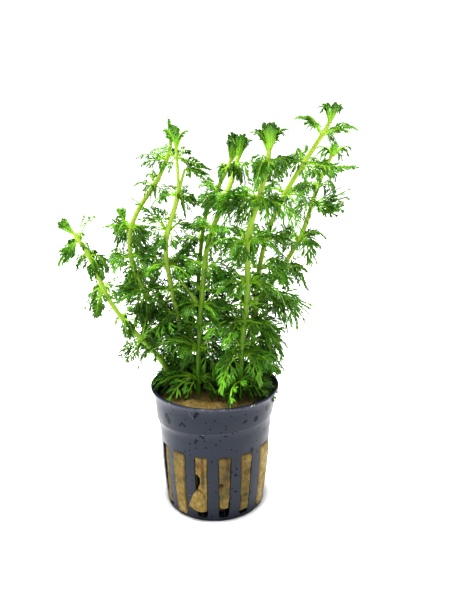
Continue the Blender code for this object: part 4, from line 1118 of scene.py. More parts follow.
# %% Build the stems
STEM_SIDES = 16
STEM_STEP = 1.1 * MM
NODE_SWELLING = 0.18
NODE_SPREAD = 1.0 * MM
TIP_TAPER = 0.32
TIP_TAPER_REACH = 12 * MM
SLIM_STEM = "stem_4"
SLIM_ABOVE = 122 * MM
SLIM_WIDTH = 0.70
SLIMMING_REACH = 3 * MM
# Painted light: these stems are painted paler, so that they look lit where the bunch shades them.
PAINTED_LIGHT_ON_STEMS = {"stem_1": 0.3, "stem_2": 0.4, "stem_3": 0.25, "stem_4": 0.3, "stem_8": 0.7, "stem_9": 0.9}
STOUT_STEM = "stem_9"
STOUT_WIDTH = 1.2
GREEN_UP_TO = 50 * MM
PALE_FROM_THERE = 80 * MM


def even_line(points, step):
    """Return points at even steps along a line."""
    lengths = np.concatenate([[0.0], np.cumsum(np.linalg.norm(np.diff(points, axis=0), axis=1))])
    places = np.linspace(0.0, lengths[-1], max(4, int(lengths[-1] / step)))
    return np.stack([np.interp(places, lengths, points[:, i]) for i in range(3)], axis=1)


def tube_faces(first, rings, sides):
    """Return the faces of a closed tube of rings of points, numbered from first, with a cap at each end."""
    faces = []
    for low in range(first, first + (rings - 1) * sides, sides):
        for k in range(sides):
            after = (k + 1) % sides
            faces.append((low + k, low + after, low + sides + after, low + sides + k))
    last = first + (rings - 1) * sides
    faces.append(tuple(reversed(range(first, first + sides))))
    faces.append(tuple(range(last, last + sides)))
    return faces


def tube(points, radii, sides):
    """Return the points and faces of a closed tube along a line, with a ring for each point."""
    along = unit(np.gradient(points, axis=0))
    side = unit(np.cross(along, (0.0, 1.0, 0.0)))
    over = np.cross(side, along)
    angles = np.linspace(0.0, math.tau, sides, endpoint=False)
    rings = [point + radius * (np.cos(angles)[:, None] * a + np.sin(angles)[:, None] * b)
             for point, radius, a, b in zip(points, radii, side, over)]
    return np.concatenate(rings), tube_faces(0, len(points), sides)


def build_stem(line):
    """Build one stem's tube, with a swelling where each whorl grows."""
    points = even_line(line.points, STEM_STEP)
    heights = points[:, 2]
    nodes = [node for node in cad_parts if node.startswith(line.name + "_leaf_whorl_")]
    to_tip = (len(points) - 1 - np.arange(len(points))) * STEM_STEP
    radii = line.radius * (1.0 - TIP_TAPER * np.exp(-to_tip / TIP_TAPER_REACH))
    if line.name == SLIM_STEM:
        radii *= 1.0 - (1.0 - SLIM_WIDTH) * np.clip((heights - SLIM_ABOVE) / SLIMMING_REACH, 0.0, 1.0)
    if line.name == STOUT_STEM:
        radii *= STOUT_WIDTH
    for node in nodes:
        bm = welded(node)
        level = float(np.mean([leaf.root[2] for leaf in plain_leaves(bm)]))
        bm.free()
        radii *= 1.0 + NODE_SWELLING * np.exp(-((heights - level) / NODE_SPREAD) ** 2)
    mesh_points, faces = tube(points, radii, STEM_SIDES)
    # Paler with height, plus painted light on some stems.
    pale = (mesh_points[:, 2] - GREEN_UP_TO) / PALE_FROM_THERE + PAINTED_LIGHT_ON_STEMS.get(line.name, 0.0)
    return make_piece(line.name + "_stalk", mesh_points, faces, stem_material,
                      [line.name], {"height_share": np.clip(pale, 0.0, 1.0)})


stalks = [build_stem(line) for line in stem_lines]
print("faces in the stems:", sum(len(stalk.data.polygons) for stalk in stalks))

# %% [markdown]
# ## Side shoots
# Three short pale shoots leave the stems in the middle of the bunch. Each is a thin tube from a whorl
# to a small cluster of young leaves. The feet, tops and tips are places in mm, across, back and up.

# %% Grow the side shoots
Shoot = namedtuple("Shoot", "foot top radius shade tips")
SHOOTS = (
    Shoot((-13.2, 1.5, 123), (-10.4, 0.5, 133.2), 0.6, 0.35,
          ((-0.9, -0.5, 131.3, "feather"), (-2.4, -1.5, 131.9, "cut"), (-4.0, 1, 132.9, "feather"),
           (-6.2, 2, 133.2, "cut"), (-7.7, 1.5, 134.4, "cut"), (0.6, -1, 128.8, "hair"),
           (-3.2, -2, 129.6, "hair"), (-8.5, -2, 130.3, "cut"))),
    Shoot((-6.7, -1.5, 82.8), (-11.7, -3.5, 91.2), 0.75, 0.45,
          ((-14.2, -5, 94.7, "cut"), (-10.2, -3, 95.3, "cut"), (-15, -5, 90.5, "cut"))),
    Shoot((-3.1, 0.5, 100.7), (0, -1.5, 109.4), 0.6, 0.7,
          ((-0.7, -2, 114.7, "hair"), (1.5, -3, 113.7, "cut"), (3.3, -2, 112.8, "hair"),
           (4.4, -3, 110.4, "cut"), (-2.2, -2, 111.7, "hair"))),
)
SHOOT_STEPS = 12
SHOOT_BOW = 0.8 * MM
SHOOT_PALENESS = 0.7
SHOOT_ARCH = 0.5


def grow_shoot(shoot, number, draw):
    """Grow one side shoot: a thin curved tube and the young leaves at its top."""
    foot, top = np.array(shoot.foot) * MM, np.array(shoot.top) * MM
    share = np.linspace(0.0, 1.0, SHOOT_STEPS)[:, None]
    points = foot + (top - foot) * share + UP * SHOOT_BOW * np.sin(math.pi * share)
    radii = shoot.radius * MM * (1.0 - 0.3 * share[:, 0])
    mesh_points, faces = tube(points, radii, STEM_SIDES)
    make_piece("side_shoot_%d" % number, mesh_points, faces, stem_material, [],
               {"height_share": np.full(len(mesh_points), SHOOT_PALENESS)})
    batch = LeafBatch()
    for *tip, kind in shoot.tips:
        leaf = guided_leaf(tip, SHOOT_ARCH, top, shoot.radius * MM, draw)
        bend = Bend(draw.uniform(0.0, 0.3), draw.uniform(-0.4, 0.4), draw.uniform(-0.1, 0.3), 0.0,
                    draw.uniform(0.9, 1.15))
        batch.add(draw.choice(patterns[kind]), leaf, bend, shoot.shade + draw.uniform(-0.1, 0.1))
    return batch.piece("side_shoot_%d_leaves" % number, [])


shoot_draw = random.Random(5)
for number, shoot in enumerate(SHOOTS, 1):
    grow_shoot(shoot, number, shoot_draw)
print("side shoots:", len(SHOOTS))

# %% [markdown]
# ## Tufts
# Each stem ends in a tuft of young leaves that still stand close together. Their tips were picked in
# the photograph. A leaf grows to each picked tip and another like it behind the stem, and a few more
# stand inside, so the tuft is full from all sides. Across and down are in pixels again, the rise is
# how far a leaf bows along the stem in mm, and each tuft has one guessed depth.

# %% Tuft tips picked in the photograph
TuftTip = namedtuple("TuftTip", "across down rise kind", defaults=(0.1, "petal"))
PICKED_TUFTS = {
    "stem_1": (
        TuftTip(57.5, 223), TuftTip(60, 220), TuftTip(63, 218.5), TuftTip(66, 221.5), TuftTip(57.5, 226),
        TuftTip(61.5, 224)),
    "stem_2": (
        TuftTip(116.5, 209), TuftTip(119, 207.5), TuftTip(122, 207.5), TuftTip(125, 208.5)),
    "stem_3": (
        TuftTip(168.9, 116.5, 0.4), TuftTip(170.5, 127), TuftTip(172, 124.5)),
    "stem_4": (
        TuftTip(175.5, 123.5), TuftTip(178, 126, 0.2), TuftTip(173.5, 126), TuftTip(171.5, 129, 0.2),
        TuftTip(177, 131, 0.2), TuftTip(189.5, 130.5, 2.6, "arm"), TuftTip(186, 132, 2.2, "arm"),
        TuftTip(182, 135, 1.6, "arm")),
    "stem_5": (
        TuftTip(229, 139.5), TuftTip(230, 135.5), TuftTip(240, 140), TuftTip(241, 144), TuftTip(232, 132.4),
        TuftTip(234.5, 131.5), TuftTip(237, 132.5), TuftTip(239, 136, 0.2), TuftTip(233, 138)),
    "stem_6": (
        TuftTip(238.5, 135), TuftTip(241.5, 133), TuftTip(244, 133.5, 0.2), TuftTip(246.5, 136, 0.3),
        TuftTip(253, 139.5, 2.6, "arm"), TuftTip(250.5, 144.5, 2, "arm"), TuftTip(249, 137, 1.6, "arm")),
    "stem_7": (
        TuftTip(262.5, 124, 0.2), TuftTip(264.5, 121.5), TuftTip(267.5, 123), TuftTip(270.5, 120.8),
        TuftTip(273.5, 122), TuftTip(276, 124, 0.2), TuftTip(278.5, 127.1, 0.4),
        TuftTip(249.5, 130.5, 2.4, "arm"), TuftTip(253.5, 134.5, 2.6, "arm"), TuftTip(258, 140, 1.6, "arm"),
        TuftTip(285.5, 131.5, 2.6, "arm"), TuftTip(283.5, 129.5, 1.6, "arm")),
    "stem_8": (
        TuftTip(325.5, 104.5, 0.4), TuftTip(328, 102.5, 0.2), TuftTip(331, 103.5), TuftTip(334, 102.5),
        TuftTip(336.5, 101.5, 0.2), TuftTip(338.5, 104, 0.4), TuftTip(321.5, 110.5, 4, "arm"),
        TuftTip(320.5, 106, 3, "arm"), TuftTip(342.5, 106.5, 2.2, "arm"), TuftTip(340.5, 109, 2, "arm")),
    "stem_9": (
        TuftTip(333, 143, 0.4), TuftTip(336, 141, 0.3), TuftTip(338.5, 143.5, 0.4),
        TuftTip(330.5, 147, 0.5), TuftTip(319.5, 157, 3, "arm"), TuftTip(323, 161, 2.6, "arm"),
        TuftTip(349, 157, 3.2, "arm"), TuftTip(351, 150, 2.6, "arm"), TuftTip(342.5, 160, 2.2, "arm"),
        TuftTip(325, 154, 2, "arm"), TuftTip(345, 152, 2.2, "arm")),
}
print("tips picked for the tufts:", sum(len(picks) for picks in PICKED_TUFTS.values()))

# %% Grow the tufts
Tuft = namedtuple("Tuft", "depth tone pale_foot right_tone sunk breadth", defaults=(0.0, 1.2, 1.0))
TUFTS = {1: Tuft(-9, 0.3, 0.2), 2: Tuft(16, 0.8, 0.1), 3: Tuft(7, 0.3, 0.3), 4: Tuft(-1, 0.3, 0.3),
         5: Tuft(22, 0.06, 0.2, 0.15, 3.2, 1.3), 6: Tuft(14, 0.1, 0.35, -0.1, 3.2, 1.1),
         7: Tuft(-14, 0.12, 0.25, 0.05, 1.2, 1.1), 8: Tuft(0, 0.15, 0.25), 9: Tuft(26, 0.5, 0.2)}
INNER_PETALS = 3
TUFT_DECIMALS = 1
PETAL_ROOM = 0.6
ROOT_SPREAD = 0.12


def tuft_leaf(tip, root, axis, rise, draw):
    """Return a tuft leaf from the tip of its stem to a picked tip. The rise bows it along the stem."""
    reach = tip - root
    bow = axis * ARCH_TO_BEND * rise * MM
    side = rotation(draw.uniform(-0.25, 0.25), axis) @ unit(np.cross(reach + bow, axis))
    length = float(np.linalg.norm(reach)) + rise * MM
    return PlainLeaf(root, reach + bow, -bow, side, unit(np.cross(side, reach)), length)


def grow_tuft(line, tuft, draw):
    """Grow the tuft at the tip of a stem: leaves to the picked tips, the same again behind, and a core."""
    centre = line.points[-1]
    batch = LeafBatch()
    tips = []
    for pick in PICKED_TUFTS[line.name]:
        across, _, up = picked_place(pick, tuft.depth)
        tips.append((round(float(across), TUFT_DECIMALS), round(float(up), TUFT_DECIMALS), pick))
    petals = [(across, up) for across, up, pick in tips if pick.kind == "petal"]
    middle = sum(across for across, _ in petals) / len(petals)
    top = np.array((middle * MM, centre[1], max(up for _, up in petals) * MM))
    axis = unit(unit(line.points[-1] - line.points[-4]) + 2 * unit(top - centre))
    half_width = max(abs(across - middle) for across, _ in petals) + PETAL_ROOM
    for across, up, pick in tips:
        is_petal = pick.kind == "petal"
        depth = math.sqrt(max(half_width ** 2 - (across - middle) ** 2, 0.3)) if is_petal else 0.0
        tone = tuft.tone + tuft.right_tone * (across - middle) / half_width
        for front in (-1, 1):
            place = np.array((across + draw.uniform(-0.3, 0.3), 0.0, up + draw.uniform(-0.8, 0.3))) * MM
            place[1] = centre[1] + front * depth * MM
            out = place - centre - axis * ((place - centre) @ axis)
            root = centre - axis * tuft.sunk * MM + out * ROOT_SPREAD
            if not is_petal and front == 1:
                place[1] += draw.uniform(2.0, 4.0) * MM
                place[0] = 2 * centre[0] - place[0]
            leaf = tuft_leaf(place, root, axis, pick.rise, draw)
            loose = 0.3 if is_petal else 1.0
            bend = Bend(curl=draw.uniform(-0.1, 0.3) * loose, twist=draw.uniform(-0.25, 0.25) * loose,
                        fold=draw.uniform(-0.4, 0.1) * loose, sway=draw.uniform(-0.03, 0.03) * loose,
                        breadth=draw.uniform(0.9, 1.15) * (tuft.breadth if is_petal else 1.0))
            pattern = draw.choice(patterns[pick.kind])
            batch.add(pattern, leaf, bend, tone + draw.uniform(-0.08, 0.08), tuft.pale_foot)
    height = float(np.mean([up for _, up in petals])) * MM - centre[2]
    for k in range(INNER_PETALS):
        out = rotation(math.tau * (k + 0.3) / INNER_PETALS, axis) @ unit(np.cross(axis, (0.0, 1.0, 0.2)))
        place = centre + axis * height * draw.uniform(0.8, 0.95) + out * 0.7 * MM
        leaf = tuft_leaf(place, centre - axis * 1.0 * MM + out * 0.3 * MM, axis, 0.3, draw)
        bend = Bend(curl=0.0, twist=0.0, fold=-0.2, sway=0.0, breadth=1.0)
        batch.add(draw.choice(patterns["petal"]), leaf, bend, tuft.tone - 0.1, tuft.pale_foot)
    return batch.piece(line.name + "_tuft", [line.name])


tuft_draw = random.Random(23)
for number, line in enumerate(stem_lines, 1):
    grow_tuft(line, TUFTS[number], tuft_draw)

# %% [markdown]
# ## Pot
# The pot is a thin turned wall with upright slots, so it is drawn as a grid round the axis: columns
# for the bars and the slots, rows from the floor to the rim. The grid is made twice, for the outer
# and the inner skin, and joined round each hole, and a bevel then rounds every moulded edge.

# %% Pot sizes
SLOT_COUNT = 15
SLOT_PITCH = math.tau / SLOT_COUNT
FIRST_SLOT_TURN = math.radians(9.9)
SLOT_HALF_TOP = math.radians(6.7)
SLOT_HALF_BOTTOM = math.radians(5.5)
SLOT_BOTTOM = 1.6 * MM
SLOT_TOP = 28.4 * MM
SLOT_CORNER = 0.7 * MM
SLOT_WIDTH = 5.0 * MM
SLOT_COLUMNS = 8
BAR_COLUMNS = 8
SLOT_PARTS = 12
SIDE_BOW = 0.5 * MM
STEP_HEIGHT = 38.8 * MM
STEP_LEAN = 1.3 * MM
STEP_LEAN_REACH = 5.0 * MM
MOULDED_EDGE = 0.15 * MM
MOULDED_ANGLE = math.radians(50)

OUTER_WALL = ((5.0, 0.0), (8.5, 0.0), (15.0, 0.0), (19.2, 0.0), (19.55, 0.12), (19.7, 0.45), (19.8, 1.6),
              (21.85, 28.4), (22.15, 31.8), (22.4, 33.8), (22.5, 35.8), (22.85, 37.6), (23.2, 38.5),
              (23.3, 38.8), (23.32, 39.2), (23.45, 40.1), (23.65, 41.8), (23.8, 43.5), (23.95, 45.5),
              (24.15, 47.8), (24.7, 48.7), (25.3, 49.2), (25.3, 49.7), (25.0, 50.0))
INNER_WALL = ((5.0, 1.2), (8.5, 1.2), (15.0, 1.2), (18.0, 1.2), (18.5, 1.25), (18.7, 1.4), (18.85, 1.6),
              (20.85, 28.4), (21.15, 31.8), (21.4, 33.8), (21.5, 35.8), (21.7, 37.6), (21.85, 38.5),
              (22.0, 39.0), (22.2, 39.6), (22.45, 40.8), (22.65, 42.2), (22.8, 43.8), (22.95, 45.6),
              (23.15, 47.8), (23.4, 48.7), (23.7, 49.2), (23.95, 49.75), (24.3, 50.0))
FLOOR_ROWS = 3
FLOOR_HOLE_ROW = 1
SLOT_ROW = 6
STEP_ROW = 13
# The lip's outer edge rows and the step row carry a painted highlight.
LIP_ROWS = (21, 22)
STEP_HIGHLIGHT = 0.45
SLOT_SHIFTS = {2: math.radians(1.4), -2: math.radians(-0.5)}


def outer_radius(height):
    """Return the radius of the pot's outer face at a height."""
    radii, heights = zip(*OUTER_WALL[FLOOR_ROWS:])
    radius = np.interp(height / MM, heights, radii) * MM
    share = (height - SLOT_BOTTOM) / (SLOT_TOP - SLOT_BOTTOM)
    return radius + SIDE_BOW * 4 * share * (1 - share) * (0 < share < 1)


def on_pot(turn, height, proud=0.0):
    """Return the place on the pot's outer face at a turn in degrees and a height in mm."""
    radius = outer_radius(height * MM) + proud * MM
    angle = math.radians(turn)
    return Vector((radius * math.sin(angle), -radius * math.cos(angle), height * MM))


# %% Marks and colours of the pot
POT_SLATE = (0.012, 0.017, 0.031)
POT_CLOUD = (0.018, 0.025, 0.042)
POT_DARK = (0.012, 0.013, 0.017)
# Pale lilac grey of the scratches, which also paints the highlight on the lip and the step.
POT_SCRATCH_AND_HIGHLIGHT = (0.13, 0.13, 0.18)
# Pale colour of the real chips, also used for painted glints on the lip.
POT_CHIP_AND_GLINT = (0.5, 0.47, 0.40)
SPOT_UNEVENNESS = 1.0

Mark = namedtuple("Mark", "turn height across tall")
DARK_MARKS = (
    Mark(-49.6, 42.9, 1.5, 1.5), Mark(-46.8, 41.4, 1.1, 1.5), Mark(40.5, 42.9, 1.1, 1.3),
    Mark(27.4, 42.9, 0.7, 0.4), Mark(29.4, 43.3, 0.7, 0.4), Mark(56.0, 46.0, 1.9, 2.1),
    Mark(-15.2, 47.7, 0.8, 0.8), Mark(-16.6, 46.8, 0.6, 0.9), Mark(-17.8, 46.0, 0.4, 0.7),
    Mark(-30.5, 42.3, 0.7, 0.6), Mark(-28.0, 41.6, 0.6, 0.45), Mark(-33.0, 41.5, 0.5, 0.6),
    Mark(-12.5, 38.0, 0.8, 0.5), Mark(-10.8, 37.4, 0.5, 0.6), Mark(10.5, 38.0, 0.9, 0.35),
    Mark(-17.3, 35.8, 0.7, 0.4), Mark(-18.8, 34.9, 0.4, 0.8), Mark(57.0, 35.5, 0.6, 0.8),
    Mark(39.8, 29.3, 0.8, 1.1), Mark(46.0, 38.0, 0.5, 0.5), Mark(-52.0, 38.0, 0.6, 0.6),
    Mark(22.0, 13.0, 0.9, 0.4), Mark(21.0, 20.5, 0.5, 0.7), Mark(140.0, 42.0, 1.0, 1.2),
    Mark(-150.0, 40.0, 0.8, 1.1),
)
SCRATCHES = (Mark(-23.0, 47.6, 0.16, 0.6), Mark(-22.3, 46.9, 0.16, 0.6), Mark(-21.2, 46.2, 0.18, 0.55),
             Mark(-19.8, 45.6, 0.2, 0.4))
CHIPS = (Mark(33.0, 49.6, 0.45, 0.26), Mark(13.5, 49.6, 0.2, 0.2), Mark(35.5, 49.6, 0.22, 0.2))


def make_spot_group():
    """Group that puts out the mask of one uneven oval spot, Reach across, round a Place."""
    group, inside, outside = new_group(
        "spot", [("Place", 'NodeSocketVector', (0.0, 0.0, 0.0)), ("Reach", 'NodeSocketVector', (MM, MM, MM))],
        [("Mask", 'NodeSocketFloat')])
    coordinates = group.nodes.new("ShaderNodeTexCoord")
    last = coordinates.outputs["Object"]
    for operation, other in (('SUBTRACT', "Place"), ('DIVIDE', "Reach")):
        node = group.nodes.new("ShaderNodeVectorMath")
        node.operation = operation
        group.links.new(last, node.inputs[0])
        group.links.new(inside.outputs[other], node.inputs[1])
        last = node.outputs["Vector"]
    ragged = math_node(group, 'MULTIPLY', place_noise(group, 1500.0), SPOT_UNEVENNESS)
    away = math_node(group, 'ADD', length_of(group, last), ragged)
    away.node.use_clamp = False
    group.links.new(ramp(group, away, 1.6, 1.3), outside.inputs["Mask"])
    return group


SPOT = make_spot_group()


def spots(tree, marks):
    """Return the joint mask of several marks on the pot."""
    joint = None
    for mark in marks:
        mask = use_group(tree, SPOT, Place=on_pot(mark.turn, mark.height),
                         Reach=(mark.across * MM, mark.across * MM, mark.tall * MM))
        joint = mask if joint is None else math_node(tree, 'MAXIMUM', joint, mask)
    return joint


# %% Pot material
def make_pot_material():
    """Make the slate plastic: cloudy, with wet specks, a few dark marks, and painted highlights on lip and
    step.
    """
    material, tree, shader = new_material("pot_satin_slate", 0.3)
    highlight_place = attribute(tree, "painted_highlight")
    cloud = use_group(tree, MOTTLE, Scale=120.0, Contrast=0.25)
    specks = use_group(tree, SPECKS, Scale=520.0, Size=0.19, Share=0.5)
    # Flecks for the painted glints on the lip.
    glint_flecks = use_group(tree, SPECKS, Scale=900.0, Size=0.2, Share=0.12)
    ragged = ramp(tree, place_noise(tree, 2600.0), 0.35, 0.6)
    # Painted highlight on the lip and the step, joined with the real scratches.
    scratch_and_highlight = math_node(tree, 'MAXIMUM', highlight_place, spots(tree, SCRATCHES))
    scratched_and_highlit = mix_colours(tree, math_node(tree, 'MULTIPLY', scratch_and_highlight, ragged),
                         mix_colours(tree, cloud, POT_SLATE, POT_CLOUD), POT_SCRATCH_AND_HIGHLIGHT)
    # Painted glints: pale flecks in the lip's painted highlight, joined with the real chips.
    chips_and_glints = math_node(tree, 'MAXIMUM', math_node(tree, 'MULTIPLY', glint_flecks, highlight_place), spots(tree, CHIPS))
    broken = ramp(tree, place_noise(tree, 2600.0), 0.25, 0.45)
    dark = math_node(tree, 'MAXIMUM', math_node(tree, 'MULTIPLY', specks, broken), spots(tree, DARK_MARKS))
    tree.links.new(mix_colours(tree, chips_and_glints, mix_colours(tree, dark, scratched_and_highlit, POT_DARK), POT_CHIP_AND_GLINT),
                   shader.inputs["Base Color"])
    tree.links.new(dark, shader.inputs["Metallic"])
    tree.links.new(ramp(tree, cloud, -1.2, 3.6), shader.inputs["Roughness"])
    shader.inputs["Specular IOR Level"].default_value = 0.3
    pits = math_node(tree, 'SUBTRACT', place_noise(tree, 1500.0), math_node(tree, 'MULTIPLY', dark, 0.4))
    add_bump(tree, shader, pits, 0.05 * MM)
    return material


pot_material = make_pot_material()
print("marks on the pot:", len(DARK_MARKS), "dark and", len(SCRATCHES) + len(CHIPS), "pale")


# %% Lay out the pot's grid
def slot_half(height):
    """Return half of a slot's opening angle at a height: the slots narrow a little downwards."""
    share = min(max((height - SLOT_BOTTOM) / (SLOT_TOP - SLOT_BOTTOM), 0.0), 1.0)
    return SLOT_HALF_BOTTOM + (SLOT_HALF_TOP - SLOT_HALF_BOTTOM) * share


def slot_centre(slot):
    """Return the angle of a slot's middle line."""
    return FIRST_SLOT_TURN + SLOT_PITCH * slot + SLOT_SHIFTS.get((slot + 3) % SLOT_COUNT - 3, 0.0)


def slot_angle(column, height):
    """Return the angle of a grid column at a height."""
    half = slot_half(height)
    slot, place = divmod(column, SLOT_COLUMNS + BAR_COLUMNS)
    centre = slot_centre(slot)
    if place <= SLOT_COLUMNS:
        return centre + half * (2 * place / SLOT_COLUMNS - 1)
    bar = slot_centre(slot + 1) - centre - 2 * half
    return centre + half + bar * (place - SLOT_COLUMNS) / BAR_COLUMNS


def fine_rows(profile):
    """Return the wall's profile with rows added along the slots, where the side bows out a little."""
    rows = []
    for k, (radius, height) in enumerate(profile):
        rows.append((radius * MM, height * MM))
        if k == SLOT_ROW:
            after = profile[k + 1]
            for part in range(1, SLOT_PARTS):
                share = part / SLOT_PARTS
                rows.append(((radius + (after[0] - radius) * share) * MM + SIDE_BOW * 4 * share * (1 - share),
                             (height + (after[1] - height) * share) * MM))
    return rows


def corner_drop(column):
    """Return how far a slot's end is pulled in at its corners, which are rounded."""
    place = column % (SLOT_COLUMNS + BAR_COLUMNS)
    if place > SLOT_COLUMNS:
        return 0.0
    from_edge = min(place, SLOT_COLUMNS - place) / SLOT_COLUMNS * SLOT_WIDTH
    inside = max(SLOT_CORNER - from_edge, 0.0)
    return SLOT_CORNER - math.sqrt(max(SLOT_CORNER ** 2 - inside ** 2, 0.0))


def pot_points(skins):
    """Return the points of both skins. The step below the rim isn't quite level all round."""
    points = []
    for skin in skins:
        for row, (radius, height) in enumerate(skin):
            for column in range(SLOT_COUNT * (SLOT_COLUMNS + BAR_COLUMNS)):
                angle = slot_angle(column, height)
                near_step = max(0.0, 1 - abs(height - STEP_HEIGHT) / STEP_LEAN_REACH)
                z = height + STEP_LEAN * math.sin(angle) * near_step
                if row == SLOT_ROW:
                    z += corner_drop(column)
                if row == SLOT_ROW + SLOT_PARTS:
                    z -= corner_drop(column)
                points.append((radius * math.sin(angle), -radius * math.cos(angle), z))
    return points


# %% Build the pot
def build_pot():
    """Build the pot's two skins and the walls of its holes."""
    skins = [fine_rows(OUTER_WALL), fine_rows(INNER_WALL)]
    columns = SLOT_COUNT * (SLOT_COLUMNS + BAR_COLUMNS)
    rows = len(skins[0])

    def corner(skin, row, column):
        return (skin * rows + row) * columns + column % columns

    def open_face(row, column):
        in_slot = column % (SLOT_COLUMNS + BAR_COLUMNS) < SLOT_COLUMNS
        return in_slot and (row == FLOOR_HOLE_ROW or SLOT_ROW <= row < SLOT_ROW + SLOT_PARTS)

    faces = []
    for row in range(rows - 1):
        for column in range(columns):
            if open_face(row, column):
                edges = (((row, column), (row, column + 1), row - 1, column),
                         ((row, column + 1), (row + 1, column + 1), row, column + 1),
                         ((row + 1, column + 1), (row + 1, column), row + 1, column),
                         ((row + 1, column), (row, column), row, column - 1))
                for a, b, beside_row, beside_column in edges:
                    if not open_face(beside_row, beside_column):
                        faces.append((corner(0, *a), corner(0, *b), corner(1, *b), corner(1, *a)))
                continue
            for skin in range(2):
                quad = (corner(skin, row, column), corner(skin, row, column + 1),
                        corner(skin, row + 1, column + 1), corner(skin, row + 1, column))
                faces.append(quad if skin == 0 else quad[::-1])
    for column in range(columns):
        faces.append((corner(0, rows - 1, column), corner(0, rows - 1, column + 1),
                      corner(1, rows - 1, column + 1), corner(1, rows - 1, column)))
    faces.append([corner(0, 0, column) for column in reversed(range(columns))])
    faces.append([corner(1, 0, column) for column in range(columns)])
    # The lip's outer edge and the step get the painted highlight.
    highlight_rows = np.zeros(2 * rows)
    for row in LIP_ROWS:
        highlight_rows[row + SLOT_PARTS - 1] = 1.0
    highlight_rows[STEP_ROW + SLOT_PARTS - 1] = STEP_HIGHLIGHT
    pot = make_piece("slotted_pot", pot_points(skins), faces, pot_material, ["pot"],
                     {"painted_highlight": np.repeat(highlight_rows, columns)})
    bevel = pot.modifiers.new("moulded edges", 'BEVEL')
    bevel.width = MOULDED_EDGE
    bevel.segments = 2
    bevel.limit_method = 'ANGLE'
    bevel.angle_limit = MOULDED_ANGLE
    bevel.harden_normals = True
    return pot


pot = build_pot()
print("faces in the pot:", len(pot.data.polygons))

# %% [markdown]
# ## Rock wool
# The wool fills the pot and comes out flush in the slots. It is a turned block with a fine grid,
# roughened by noise. In each slot it has its own tone and its own lower end, it has hollows where
# the photograph shows dark gaps, and in one slot it spills over the bar beside it.

# %% Measures of the wool
WOOL_TOP = 46.0 * MM
WOOL_TURNS = 420
WOOL_ROWS = 108
WOOL_PROFILE = ((0.0, 1.4), (14.0, 1.5), (18.0, 2.0), (18.4, 4.0), (20.1, 28.4), (20.8, 38.0), (21.9, 43.0),
                (21.2, 45.4), (19.5, 46.0), (0.0, 46.0))
UNDER_DEPTH = 4.5 * MM
UNDER_BLUR = 0.6 * MM
LUMPS = 260.0
GRAIN = 1300.0
FILL_WIDTH = 1.06
FILL_EDGE = math.radians(0.8)
FILL_TOP = SLOT_TOP + 0.1 * MM
FILL_TOP_EDGE = 0.4 * MM

Hollow = namedtuple("Hollow", "slot height across tall depth")
HOLLOWS = (
    Hollow(-1.22, 18.0, 1.1, 2.4, 4.5), Hollow(-1.27, 14.5, 0.7, 3.0, 4.0),
    Hollow(1.28, 15.0, 0.5, 8.0, 3.0), Hollow(-3.2, 20.0, 1.5, 11.0, 2.5), Hollow(0.30, 7.5, 0.7, 2.6, 3.5),
    Hollow(-0.14, 16.6, 0.6, 0.7, 1.5), Hollow(5.1, 20.0, 1.5, 2.5, 3.5), Hollow(7.8, 9.0, 1.2, 3.5, 3.5),
)

SlotWool = namedtuple("SlotWool", "tone end proud left right", defaults=(0.0, 0.0))
SLOT_WOOL = {
    -3: SlotWool(0.40, 2.4, 0.0), -2: SlotWool(0.52, 1.4, 0.5, 0.2, 0.0), -1: SlotWool(0.52, 4.4, 0.1),
    0: SlotWool(0.22, 5.8, 0.1), 1: SlotWool(0.32, 3.2, 0.15), 2: SlotWool(0.92, 2.0, 0.4, -0.2, 0.5),
    3: SlotWool(0.7, 3.0, -0.2), 4: SlotWool(0.4, 5.0, -0.4), 5: SlotWool(0.55, 2.4, 0.1),
    6: SlotWool(0.35, 4.0, 0.0), 7: SlotWool(0.6, 3.0, 0.2, 0.0, 0.1), 8: SlotWool(0.45, 3.6, 0.1),
    9: SlotWool(0.5, 2.2, 0.1), 10: SlotWool(0.62, 5.2, 0.0, 0.1, 0.0), 11: SlotWool(0.4, 2.6, -0.3),
}

Patch = namedtuple("Patch", "slot height across tall tone")
PATCHES = (
    Patch(-0.93, 22.0, 0.6, 6.5, -0.1), Patch(-1.0, 9.0, 4.0, 5.0, 0.58), Patch(0.0, 7.8, 4.0, 2.6, 0.6),
    Patch(-0.1, 16.8, 1.2, 1.2, -0.2), Patch(0.1, 19.0, 1.3, 1.5, -0.1), Patch(0.15, 24.0, 1.0, 2.0, 0.0),
    Patch(-0.15, 26.5, 1.2, 1.4, 0.5), Patch(-1.1, 25.0, 1.0, 1.6, 0.15), Patch(-2.0, 4.0, 3.0, 4.0, 0.68),
    Patch(-0.35, 46.0, 5.0, 5.0, 0.6), Patch(0.55, 46.0, 4.0, 4.0, 0.75), Patch(1.1, 5.5, 3.0, 2.5, 0.5),
    Patch(1.1, 25.5, 1.5, 2.5, 0.55),
)


def slot_of(angle):
    """Return the number of the slot nearest to an angle, and how far across it the angle is."""
    turns = (angle - FIRST_SLOT_TURN) / SLOT_PITCH
    slot = round(turns)
    slot_number = (slot + 3) % SLOT_COUNT - 3
    return slot_number, (turns - slot) * SLOT_PITCH - SLOT_SHIFTS.get(slot_number, 0.0)


def away_from(mark, angle, height, radius):
    """Return how far a place is from a hollow or patch, as a share of its reach."""
    turn = FIRST_SLOT_TURN + SLOT_PITCH * mark.slot
    across = ((angle - turn + math.pi) % math.tau - math.pi) * radius / MM
    return math.hypot(across / mark.across, (height / MM - mark.height) / mark.tall)


# %% Shape the wool block
def wool_surface(share):
    """Return the radius and height at a share of the way along the wool's profile."""
    profile = np.array(WOOL_PROFILE) * MM
    lengths = np.concatenate([[0.0], np.cumsum(np.linalg.norm(np.diff(profile, axis=0), axis=1))])
    place = share * lengths[-1]
    return np.interp(place, lengths, profile[:, 0]), np.interp(place, lengths, profile[:, 1])


